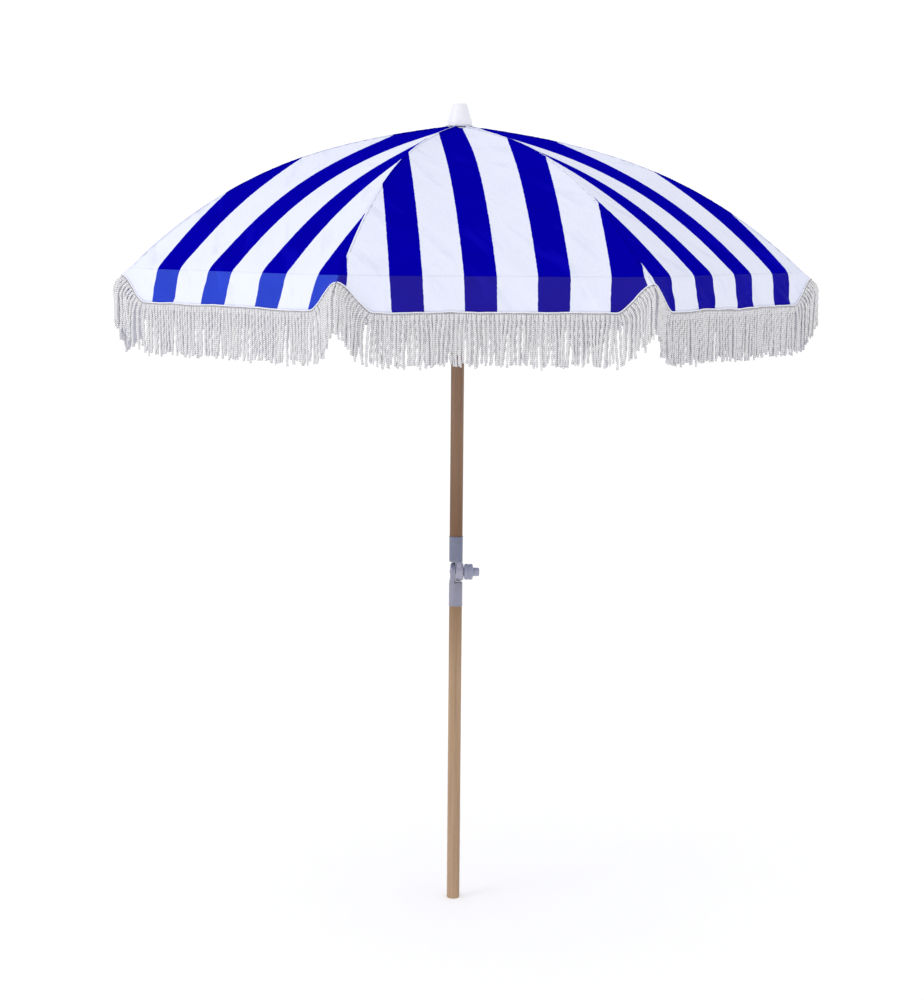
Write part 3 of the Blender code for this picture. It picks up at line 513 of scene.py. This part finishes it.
def valance_point(panel, across, share):
    """A point of the valance, from the fold (0) to the hem (1)."""
    flat = corner(across)
    tip_out = (TIP_RADIUS - FOLD_RADIUS) * cos(HALF_ANGLE)
    drop = TIP_DROP + (VALANCE_DROP - TIP_DROP) * flat
    drop += HEM_WAVE * flat * noise.noise(Vector((across * 13, panel.number * 3.9, 0.5)))
    out = tip_out + (VALANCE_LEAN - tip_out) * flat
    spread = (TIP_RADIUS / FOLD_RADIUS - 1) * (1 - flat)
    # Soft folds that run slantwise from the corners, and small ripples along the hem
    fullness = BROAD_FOLD * noise.noise(Vector((across * 11 + share * 0.8, share * 1.2, panel.number * 5.7)))
    fullness += SMALL_FOLD * noise.noise(Vector((across * 34 - share * 2.5, share * 2, panel.number * 2.3)))
    inwards, back = (flat * move for move in fold_rounding(drop * share))
    lean = atan2(VALANCE_LEAN, VALANCE_DROP)
    out = share * (out + flat * fullness) - inwards * cos(lean) + back * sin(lean)
    across = across * (1 + spread * share)
    down = drop * share + inwards * sin(lean) + back * cos(lean)
    return panel.fold + panel.out * out + panel.across * across - UP * down


def hem_curve(panel):
    """The hem from one rib's tip to the other's, as (distance along it, point, distance across the panel)."""
    half = FOLD_RADIUS * sin(HALF_ANGLE) - 0.001
    steps = 600
    curve, length, before = [], 0, None
    for k in range(steps + 1):
        across = half * (2 * k / steps - 1)
        point = valance_point(panel, across, 1)
        if before is not None:
            length += (point - before).length
        curve.append((length, point, across))
        before = point
    return curve


def along_hem(curve, distance):
    """The hem's (point, unit tangent, distance across the panel) so far along it."""
    low, high = 0, len(curve) - 1
    while high - low > 1:
        middle = (low + high) // 2
        if curve[middle][0] < distance:
            low = middle
        else:
            high = middle
    start, end = curve[low], curve[high]
    share = (distance - start[0]) / (end[0] - start[0])
    point = start[1].lerp(end[1], share)
    return point, (end[1] - start[1]).normalized(), start[2] + (end[2] - start[2]) * share


def make_valance(panel, material):
    """The cloth of one flap, without its piping and fringe."""
    columns, rows = 121, 19
    half = FOLD_RADIUS * sin(HALF_ANGLE) - 0.0004
    fold_along = arc_length(FOLD_RADIUS)
    points, uvs = [], []
    for r in range(rows):
        share = (r / (rows - 1)) ** 1.4
        for c in range(columns):
            across = half * (2 * c / (columns - 1) - 1)
            points.append(valance_point(panel, across, share))
            drop = TIP_DROP + (VALANCE_DROP - TIP_DROP) * corner(across)
            down = share * drop / VALANCE_DROP
            stripe = panel.stripe(across * (1 + 0.02 * down) + panel.slant * down)
            uvs.append((stripe, fold_along + share * drop))
    name = f"valance_cloth_{panel.number}"
    mesh = mesh_from(name, points, grid_faces(rows, columns), uvs)
    mesh.flip_normals()
    obj = add_object(name, mesh, material, f"valance_{panel.number}")
    thicken(obj, CLOTH_THICK)
    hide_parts(f"valance_{panel.number}")
    return obj


# Fringe


def hem_normal(panel, tangent):
    """Straight off the hem, in the valance's own surface."""
    return tangent.cross(panel.out).normalized() * (1 if tangent.cross(panel.out).z < 0 else -1)


def make_piping(panel, curve, material):
    """The rolled white edge between the cloth and the fringe."""
    total, columns, sides = curve[-1][0], 241, 8
    radius, proud, unevenness = 0.0015, 0.0012, 0.0009
    points, uvs = [], []
    for c in range(columns):
        distance = min(max(total * c / (columns - 1), HEM_END), total - HEM_END)
        point, tangent, _ = along_hem(curve, distance)
        down = hem_normal(panel, tangent)
        wobble = unevenness * noise.noise(Vector((distance * 45, 0.5, panel.number)))
        for k in range(sides):
            turn = 2 * pi * k / sides
            off = panel.out * (proud + radius * sin(turn))
            points.append(point + down * (radius * cos(turn) + wobble) + off)
            uvs.append((0.08, distance))
    mesh = mesh_from(f"hem_piping_{panel.number}", points, tube_faces(columns, sides), uvs)
    return add_object(mesh.name, mesh, material, f"valance_{panel.number}")


def make_heading(panel, curve, material):
    """The fringe's heading: the tops of its cords, side by side, bound by rows of thread."""
    total = curve[-1][0]
    columns = int(total / HEADING_PITCH) * 6 + 1
    # How far down from the hem, and how far out from it
    section = [(0.0008, 0.0004), (0.0012, 0.0014), (0.004, 0.0022), (0.008, 0.0024), (0.0125, 0.0024)]
    section += [(0.016, 0.0022), (0.0185, 0.0012)]
    points, uvs = [], []
    for drop, proud in section:
        for c in range(columns):
            distance = total * c / (columns - 1)
            point, tangent, across = along_hem(curve, min(max(distance, HEM_END), total - HEM_END))
            down = hem_normal(panel, tangent)
            groove = 0.0014 * (0.5 - 0.5 * cos(2 * pi * distance / HEADING_PITCH)) ** 2
            wave = 0.0006 * noise.noise(Vector((distance * 60, drop * 90, panel.number)))
            level = 0.5 + 0.5 * corner(across) ** 2
            points.append(point + down * drop * level + panel.out * (proud + wave - groove))
            uvs.append((distance, drop * level))
    name = f"fringe_heading_{panel.number}"
    mesh = mesh_from(name, points, grid_faces(len(section), columns), uvs)
    mesh.flip_normals()
    obj = add_object(name, mesh, material, f"valance_{panel.number}")
    thicken(obj, 0.0006)
    return obj


def cord_path(panel, point, down, seed, length, flare):
    """A hanging cord's centreline: off the hem, then down, with the kinks that its twist gives it."""
    path = []
    place = point.copy()
    step = length / (CORD_RINGS - 1)
    swing = LEAN * noise.noise(Vector((seed * 0.19, 1.7, panel.number)))
    for k in range(CORD_RINGS):
        share = k / (CORD_RINGS - 1)
        path.append(place.copy())
        hang = min(1, share / 0.3)
        heading = (down * (1 - hang) - UP * hang + panel.out * flare * (1 - hang)).normalized()
        loose = min(1, share / 0.2)
        kink = BEND * loose * noise.noise(Vector((seed * 0.47, share * 3.0, panel.number * 9.1)))
        kink += CURL * loose * noise.noise(Vector((seed * 7.31, share * 5.0, panel.number * 9.1)))
        kink += TAIL * share * share * noise.noise(Vector((seed * 5.3, share * 6.0, panel.number * 1.9)))
        sway = SWAY * loose * noise.noise(Vector((seed * 3.77, share * 3.5, panel.number * 4.4 + 50)))
        heading = heading + panel.across * (kink + swing * loose * (1 - share)) + panel.out * sway
        place = place + heading.normalized() * step
    return path


def make_fringe(panel, curve, material):
    """Bullion cords: two plies twisted together, so that each cord's outline has a waist at every half turn."""
    total = curve[-1][0]
    count = int(total / CORD_SPACING)
    points, faces, uvs = [], [], []
    for c in range(count):
        seed = c + 100 * panel.number
        jitter = CORD_JITTER * noise.noise(Vector((seed * 5.1, 0.5, 0.5)))
        point, tangent, across = along_hem(curve, total * (c + 0.5 + jitter) / count)
        down = hem_normal(panel, tangent)
        length = CORD_LENGTH * (1 + CORD_UNEVENNESS * noise.noise(Vector((seed * 2.9, 3.3, 0.5))))
        # Every second cord hangs behind its neighbours
        depth = CORD_ROWS_APART * (c % 2) + 0.001 * noise.noise(Vector((seed * 4.3, 9.3, 0.5)))
        start = point + down * 0.004 + panel.out * (0.0005 - depth)
        path = cord_path(panel, start, down, seed, length, CORNER_FLARE * (1 - corner(across)))
        first = len(points)
        for k, place in enumerate(path):
            share = k / (CORD_RINGS - 1)
            ahead = (path[min(k + 1, CORD_RINGS - 1)] - path[max(k - 1, 0)]).normalized()
            side = ahead.cross(panel.out).normalized()
            front = side.cross(ahead)
            lobes = seed * 1.3 + 2 * pi * share * CORD_TWISTS
            taper = 1 - 0.2 * share**3
            for s in range(CORD_SIDES):
                turn = 2 * pi * s / CORD_SIDES
                radius = CORD_RADIUS * taper * (0.86 + 0.2 * cos(2 * turn - lobes))
                points.append(place + side * radius * cos(turn) + front * radius * sin(turn))
                uvs.append((s / CORD_SIDES, share * length))
        faces += tube_faces(CORD_RINGS, CORD_SIDES, first)
    name = f"fringe_cords_{panel.number}"
    mesh = mesh_from(name, points, faces, uvs)
    return add_object(name, mesh, material, f"valance_{panel.number}")


# Seams, which ride on the ribs


class Seam:
    """The line of a rib, where the panel to its left meets the one to its right."""

    def __init__(self, left, right):
        self.number = right.number
        self.sides = ((left, 1), (right, -1))
        self.out = (left.out + right.out).normalized()
        self.across = UP.cross(self.out)

    def normal(self, radius):
        """Straight up off the cloth."""
        fall = canopy_fall(radius)
        return self.out * sin(fall) + UP * cos(fall)

    def point(self, radius):
        return self.out * radius + UP * canopy_height(radius)


def facing_half_width(radius):
    """Half the width of the cloth facing under a seam: enough to close the gap when the frame is folded."""
    share = (radius - PANEL_START) / (FOLD_RADIUS - PANEL_START)
    return min(0.014 + 0.028 * sin(pi * share) ** 0.8, 0.9 * radius * sin(HALF_ANGLE))


def make_facing(seam, material):
    """The strip of canopy cloth inside a seam, which follows the two panels that meet there."""
    rows, columns = 61, 5
    first, length = PANEL_START + 0.004, FOLD_RADIUS - PANEL_START - 0.012
    points, uvs, faces = [], [], []
    for panel, side in seam.sides:
        faces += grid_faces(rows, columns, len(points))
        for r in range(rows):
            radius = first + length * r / (rows - 1)
            half = facing_half_width(radius)
            edge = radius * sin(HALF_ANGLE)
            along = arc_length(radius)
            for c in range(columns):
                share = c / (columns - 1)
                from_seam = half * (1 - share if side > 0 else share)
                place = panel_surface(panel, radius, side * (1 - from_seam / edge))
                under = 0.0024 + 0.002 * min(1, from_seam / 0.03)
                points.append(place - seam.normal(radius) * under)
                uvs.append((panel.stripe(side * (edge - from_seam)), along))
    name = f"seam_facing_{seam.number}"
    mesh = mesh_from(name, points, faces, uvs)
    mesh.flip_normals()
    obj = add_object(name, mesh, material, f"rib_{seam.number}")
    thicken(obj, CLOTH_THICK)
    return obj


def make_welt(seam, material):
    """The raised welt of a felled seam, along the outside of a rib."""
    rows, columns = 121, 4
    half, rise, sunk, thickness = 0.0042, 0.0011, 0.0009, 0.0004
    stitch, stitch_pitch = 0.0002, 0.009
    first, length = PANEL_START + 0.002, FOLD_RADIUS - PANEL_START - 0.002
    points, uvs, faces = [], [], []
    for panel, side in seam.sides:
        faces += grid_faces(rows, columns, len(points))
        for r in range(rows):
            radius = first + length * r / (rows - 1)
            along = arc_length(radius)
            for c in range(columns):
                share = c / (columns - 1)
                from_seam = 1 - share if side > 0 else share
                height = rise * (1 - from_seam**4) - sunk
                height += stitch * sin(2 * pi * along / stitch_pitch)
                off = seam.across * side * from_seam * half
                points.append(seam.point(radius) - off + seam.normal(radius) * height)
                across = side * (radius * sin(HALF_ANGLE) - from_seam * half)
                uvs.append((panel.stripe(across), along))
    name = f"seam_welt_{seam.number}"
    mesh = mesh_from(name, points, faces, uvs)
    mesh.flip_normals()
    obj = add_object(name, mesh, material, f"rib_{seam.number}")
    thicken(obj, thickness)
    return obj


def make_top_patch(material):
    """The round patch of cloth that covers the points of the panels, and the finial's collar on it."""
    low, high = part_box("canopy_top_patch")
    cap_low, cap_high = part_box("finial")
    edge = high[0] + 0.0045
    bore = 0.3 * edge  # for the stud that holds the finial
    columns, sides = 12, 64
    points, uvs = [], []
    for k in range(sides + 1):
        turn = 2 * pi * k / sides
        for c in range(columns):
            share = c / (columns - 1)
            radius = bore + (edge - bore) * share
            ripple = 0.0003 * share * noise.noise(Vector((3 * cos(turn), 3 * sin(turn), share)))
            height = high[2] - 0.0003 - (high[2] - low[2]) * share**1.6
            height = max(height, canopy_height(radius) + 0.0017) + ripple
            points.append(Vector((radius * cos(turn), radius * sin(turn), height)))
            uvs.append((radius * cos(turn), radius * sin(turn)))
    mesh = mesh_from("top_patch_cloth", points, grid_faces(sides + 1, columns), uvs)
    mesh.flip_normals()
    obj = add_object(mesh.name, mesh, material, "upper_pole")
    thicken(obj, CLOTH_THICK)
    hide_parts("canopy_top_patch")
    collar_radius = cap_high[0] - 0.0012
    top, foot = cap_low[2] - 0.0003, canopy_height(collar_radius) - 0.001
    profile = [(collar_radius - 0.002, top), (collar_radius - 0.0004, top), (collar_radius, top - 0.0004)]
    profile += [(collar_radius + 0.0004, foot), (collar_radius - 0.002, foot)]
    collar = ring_mesh("top_patch_collar", around_z(profile, 64))
    collar.shade_smooth()
    collar = add_object(collar.name, collar, material, "upper_pole")


def make_tip(seam, material, steel):
    """The white pocket under a corner of the cloth, which holds the end of the rib, and the rib's steel cap."""
    stations, sides, cap_sides = 9, 12, 16
    start, length, sunk = 0.882, 0.036, 0.0078  # along the rib, and under the seam
    points = []
    for k in range(stations):
        share = k / (stations - 1)
        radius = start + length * share
        normal = seam.normal(radius)
        size = 0.004 + 0.0024 * share
        size *= sqrt(max(0.05, 1 - max(0, (share - 0.75) / 0.25) ** 2))
        centre = seam.point(radius) - normal * sunk
        for s in range(sides):
            turn = 2 * pi * s / sides
            points.append(centre + seam.across * size * cos(turn) + normal * 0.75 * size * sin(turn))
    uvs = [(p.x, p.y) for p in points]
    mesh = mesh_from(f"rib_tip_pocket_{seam.number}", points, tube_faces(stations, sides), uvs)
    add_object(mesh.name, mesh, material, f"rib_{seam.number}")
    # The cap's size at each radius
    stem = [(0.0028, 0.914), (0.003, 0.921), (0.0038, 0.9225), (0.0042, 0.927), (0.0036, 0.931), (0.002, 0.933)]
    rings = []
    for size, radius in stem:
        normal = seam.normal(radius)
        centre = seam.point(radius) - normal * sunk
        turns = [2 * pi * k / cap_sides for k in range(cap_sides)]
        rings.append([centre + seam.across * size * cos(t) + normal * size * sin(t) for t in turns])
    cap = ring_mesh(f"rib_tip_cap_{seam.number}", rings)
    cap.shade_smooth()
    add_object(cap.name, cap, steel, f"rib_{seam.number}")


def make_canopy():
    """The panels, the flaps with their fringe, the seams, the rib ends and the top patch."""
    canvas = canvas_material("canopy_cloth", BLUE, 0.0)
    flap_canvas = canvas_material("flap_cloth", *USUAL_FLAP_BLUE)
    flaps = {number: canvas_material(f"flap_cloth_{number}", *look) for number, look in LIT_AND_SHADED_FLAP_BLUE.items()}
    cotton = cotton_material("fringe_cotton", rgb(254, 254, 255), rgb(247, 247, 252), 0.0046)
    webbing = webbing_material()
    pocket = moulded_material("tip_pocket", rgb(232, 234, 244), 0.6)
    tape = plain_tape_material()
    cap_steel = coated_material("tip_steel", rgb(92, 94, 104), rgb(150, 150, 154), 0.35, 0.7, 0.0002)
    panels = [Panel(number) for number in range(1, PANELS + 1)]
    for panel in panels:
        make_panel(panel, canvas)
        valance = make_valance(panel, flaps.get(panel.number, flap_canvas))
        curve = hem_curve(panel)
        heading = make_heading(panel, curve, webbing)
        cords = make_fringe(panel, curve, cotton)
        pieces = [make_piping(panel, curve, tape), heading, cords]
        for piece in [valance, *pieces]:
            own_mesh(piece)
    make_top_patch(tape)
    for index, panel in enumerate(panels):
        seam = Seam(panels[index - 1], panel)
        facing = make_facing(seam, canvas)
        welt = make_welt(seam, canvas)
        make_tip(seam, pocket, cap_steel)


# Pole and frame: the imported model's own solids, with finished materials


def finish_frame():
    """Gives every solid that still shows its material, and replaces the castings and the knob."""
    # The upper wood is a darker copy of the lower wood: painted shade, for the pole under the canopy
    lower_wood = wood_material("lower_beech", rgb(188, 158, 128), rgb(160, 131, 103), 0.84, 0.62)
    upper_wood = wood_material("upper_beech", rgb(160, 127, 100), rgb(130, 99, 75), 1.02, 1.3)
    height = JOINTS["tilt"]["pos_m"][2]
    # The upper casting is a darker copy of the grey casting, painted shade under the canopy; its foot, the
    # drum, is painted lighter, as lit
    lit_foot = (rgb(164, 163, 180), height + 0.018, height + 0.034)
    casting = coated_material("grey_casting", rgb(148, 148, 166), rgb(196, 196, 206), 0.3, 0.5)
    shaded = coated_material("blued_casting", rgb(120, 124, 145), rgb(170, 172, 184), 0.32, 0.5, foot=lit_foot)
    steel = coated_material("zinc_steel", rgb(190, 190, 194), rgb(140, 138, 136), 0.34, 0.85, 0.0002)
    white = moulded_material("white_plastic", rgb(246, 246, 252), 0.38)
    knob = moulded_material("knob_plastic", rgb(154, 157, 177), 0.32)
    given = {
        "lower_pole": lower_wood,
        "upper_pole": upper_wood,
        "tilt_lower_socket": casting,
        "tilt_upper_socket": casting,
        "tilt_knob": knob,
        "crown_hub": white,
        "finial": white,
        "runner": white,
    }
    for name, node in frame["nodes"].items():
        if node.hide_render:
            continue
        node.data.materials.clear()
        material = white if name.startswith("rib_saddle") else given.get(name, steel)
        node.data.materials.append(material)
    make_tilt_joint(casting, shaded, knob)


# Tilt joint


def ring_mesh(name, rings):
    """A closed mesh from rings of as many points each, with a flat face at either end."""
    points = [point for ring in rings for point in ring]
    mesh = bpy.data.meshes.new(name)
    mesh.from_pydata(points, [], tube_faces(len(rings), len(rings[0])))
    tidy = bmesh.new()
    tidy.from_mesh(mesh)
    bmesh.ops.recalc_face_normals(tidy, faces=tidy.faces)
    tidy.to_mesh(mesh)
    tidy.free()
    return mesh


def around_z(profile, segments=48):
    """Rings round the pole's axis, from (radius, height)."""
    turns = [2 * pi * k / segments for k in range(segments)]
    return [[Vector((r * cos(t), r * sin(t), z)) for t in turns] for r, z in profile]


def around_bolt(profile, height, segments=56):
    """Rings round the tilt bolt, which lies along X at this height, from (radius, place along X)."""
    turns = [2 * pi * k / segments for k in range(segments)]
    return [[Vector((x, r * cos(t), height + r * sin(t))) for t in turns] for r, x in profile]


def oval(low, high, half, height, power=3.2, segments=40):
    """A level ring with rounded corners, between two places across X and half as wide each way in Y."""
    ring = []
    for k in range(segments):
        turn = 2 * pi * k / segments
        c, s = cos(turn), sin(turn)
        reach = (abs(c) ** power + abs(s) ** power) ** (-1 / power)
        ring.append(Vector(((low + high) / 2 + (high - low) / 2 * c * reach, half * s * reach, height)))
    return ring


def united(name, meshes):
    """One mesh from several that overlap, with its edges worn round."""
    objects = []
    for mesh in meshes:
        obj = bpy.data.objects.new(name, mesh)
        bpy.context.scene.collection.objects.link(obj)
        objects.append(obj)
    first = objects[0]
    for other in objects[1:]:
        union = first.modifiers.new("union", "BOOLEAN")
        union.operation = "UNION"
        union.solver = "EXACT"
        union.object = other
    bevel = first.modifiers.new("worn_edges", "BEVEL")
    bevel.width = 0.0005
    bevel.segments = 2
    bevel.limit_method = "ANGLE"
    bevel.angle_limit = radians(35)
    graph = bpy.context.evaluated_depsgraph_get()
    mesh = bpy.data.meshes.new_from_object(first.evaluated_get(graph))
    for obj in objects:
        bpy.data.objects.remove(obj)
    mesh.name = name
    mesh.materials.clear()
    mesh.shade_smooth()
    mesh.set_sharp_from_angle(angle=radians(40))
    return mesh


def make_tilt_joint(casting, shaded, knob_material):
    """The two castings that clamp together on the bolt, and the knurled knob that tightens them."""
    height = JOINTS["tilt"]["pos_m"][2]
    bottom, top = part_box("tilt_lower_socket")[0][2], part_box("tilt_upper_socket")[1][2]
    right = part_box("tilt_upper_socket")[1][0]
    half_gap = 0.0005  # between the two castings, to either side of X = 0
    shoulder = 0.0276  # from the bolt to where a sleeve ends
    sleeve_radius, bore, drum = 0.0184, 0.0168, 0.0245
    bore_depth, lower_reach = 0.046, 0.0152  # of the hole for the pole, and of the lower drum along the bolt
    for side, name, body in ((-1, "lower", "lower_pole"), (1, "upper", "upper_pole")):
        far = bottom if side < 0 else top
        near = height + side * shoulder

        def up(distance, start=far, way=-side):
            return start + way * distance

        # Each outline is (radius, height) or (radius, place along X), with a rolled rim at the sleeve's far end
        sleeve = [(bore, up(bore_depth)), (bore, up(0)), (sleeve_radius, up(0))]
        sleeve += [(sleeve_radius + 0.0006, up(0.0008)), (sleeve_radius + 0.0006, up(0.0026))]
        sleeve += [(sleeve_radius, up(0.0034)), (sleeve_radius, near + side * 0.002)]
        sleeve += [(sleeve_radius - 0.0008, near + side * 0.0006), (sleeve_radius - 0.0022, near)]
        if side < 0:
            start, end = -lower_reach, -half_gap
            rim = [(0.0185, start), (0.0212, start + 0.0006), (0.0234, start + 0.0026), (drum, start + 0.006)]
            rim += [(drum, end - 0.0006), (drum - 0.0006, end)]
            neck_low, neck_high = -sleeve_radius + 0.0003, end
        else:
            start, end = half_gap, right
            rim = [(drum - 0.0006, start), (drum, start + 0.0006), (drum, end - 0.0052), (0.0236, end - 0.003)]
            rim += [(0.0218, end - 0.0012), (0.0205, end - 0.0006), (0.0188, end - 0.0006), (0.0182, end)]
            neck_low, neck_high = start, sleeve_radius - 0.0003
        drum_mesh = ring_mesh(f"{name}_drum", around_bolt(rim, height))
        # The neck goes from the sleeve's round to the drum's side
        rings, last = [], 6
        for k in range(last + 1):
            share = k / last
            ease = share * share * (3 - 2 * share)
            level = near + side * 0.004 - side * (shoulder + 0.004) * share
            half = sleeve_radius - 0.0006 + (drum - 0.0008 - sleeve_radius) * ease
            low = neck_low + ((start + 0.0028 if side < 0 else start) - neck_low) * ease
            high = neck_high + ((end if side < 0 else end - 0.0028) - neck_high) * ease
            rings.append(oval(low, high, half, level))
        neck = ring_mesh(f"{name}_neck", rings)
        shell = ring_mesh(f"{name}_sleeve", around_z(sleeve))
        mesh = united(f"tilt_{name}_casting", [shell, neck, drum_mesh])
        # The upper casting carries painted shade, with its drum painted lighter, as lit
        finish = casting if side < 0 else shaded
        piece = add_object(mesh.name, mesh, finish, body)
        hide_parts(f"tilt_{name}_socket")
    make_knob(height, knob_material)


def make_knob(height, material):
    """The knurled knob, in two bands, with a dome on its face."""
    low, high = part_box("tilt_knob")
    radius = (high[1] - low[1]) / 2
    start = low[0]
    flutes, flute_depth = 26, 0.0013
    segments = 6 * flutes
    # How far along the knob, how wide as a share of its radius, and how deep the flutes are there
    back_band = [(0.0, 0.86, 0), (0.0012, 0.95, 0.4), (0.0028, 0.995, 1), (0.01, 1.0, 1), (0.0106, 0.94, 0.5)]
    front_band = [(0.0122, 0.94, 0.5), (0.0128, 1.0, 1), (0.02, 0.99, 1), (0.022, 0.95, 0.5), (0.0232, 0.86, 0)]
    boss = [(0.0234, 0.62, 0), (0.024, 0.565, 0), (0.025, 0.548, 0), (0.0365, 0.54, 0), (0.0388, 0.52, 0)]
    dome = [(0.0402, 0.46, 0), (0.0409, 0.36, 0), (0.041, 0.2, 0), (0.0404, 0.12, 0)]
    rings = []
    for along, size, flute in back_band + front_band + boss + dome:
        ring = []
        for k in range(segments):
            turn = 2 * pi * k / segments
            cut = flute_depth * flute * (0.5 - 0.5 * cos(flutes * turn)) ** 1.5
            reach = radius * size - cut
            ring.append(Vector((start + along, reach * cos(turn), height + reach * sin(turn))))
        rings.append(ring)
    mesh = ring_mesh("knurled_knob", rings)
    mesh.shade_smooth()
    mesh.set_sharp_from_angle(angle=radians(50))
    piece = add_object(mesh.name, mesh, material, "knob")
    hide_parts("tilt_knob")


# Stage


def make_stage():
    """A pale floor and an even white studio round it."""
    mesh = bpy.data.meshes.new("studio_floor")
    half = 30
    corners = [(-half, -half, 0), (half, -half, 0), (half, half, 0), (-half, half, 0)]
    mesh.from_pydata(corners, [], [(0, 1, 2, 3)])
    floor = bpy.data.objects.new("studio_floor", mesh)
    bpy.context.scene.collection.objects.link(floor)
    nodes = Nodes("studio_floor")
    nodes.shade(Base_Color=(0.9, 0.9, 0.9, 1), Roughness=0.9)
    nodes.shade(Emission_Color=(1, 1, 1, 1), Emission_Strength=0.2)
    mesh.materials.append(nodes.material)
    world = bpy.data.worlds.new("studio")
    bpy.context.scene.world = world
    world.use_nodes = True
    tree = world.node_tree
    background = tree.nodes["Background"]
    background.inputs["Color"].default_value = (1, 1, 1, 1)
    # The camera sees white paper behind the object, and the object is lit a little less than that
    path = tree.nodes.new("ShaderNodeLightPath")
    strength = tree.nodes.new("ShaderNodeMapRange")
    strength.inputs["To Min"].default_value = 0.93
    strength.inputs["To Max"].default_value = 1.1
    tree.links.new(path.outputs["Is Camera Ray"], strength.inputs["Value"])
    tree.links.new(strength.outputs["Result"], background.inputs["Strength"])


def add_area(name, place, aim, size, power):
    """A square lamp at a place, turned to its aim."""
    light = bpy.data.lights.new(name, "AREA")
    light.shape = "SQUARE"
    light.size = size
    light.energy = power
    lamp = bpy.data.objects.new(name, light)
    bpy.context.scene.collection.objects.link(lamp)
    lamp.location = place
    lamp.rotation_euler = (Vector(aim) - Vector(place)).to_track_quat("-Z", "Y").to_euler()


def add_camera():
    """The photograph's view: a little to one side of the front, and a little above the canopy's edge."""
    camera = bpy.data.cameras.new("camera")
    camera.sensor_width = 36
    camera.lens = 70.4
    obj = bpy.data.objects.new("camera", camera)
    bpy.context.scene.collection.objects.link(obj)
    turn = Matrix.Rotation(radians(0.9), 4, "Z")
    pitch = radians(8.24)
    roll = radians(0.52)
    look = turn @ Matrix.Rotation(pi / 2 - pitch, 4, "X") @ Matrix.Rotation(roll, 4, "Z")
    obj.location = turn @ Vector((0.015, -5.218, 1.869))
    obj.rotation_euler = look.to_euler()
    bpy.context.scene.camera = obj


add_camera()
make_stage()
add_area("key", (-4.2, -2.4, 4.0), (0, 0, 1.7), 2.5, 48)
bpy.context.scene.view_settings.view_transform = "Standard"
make_canopy()
finish_frame()
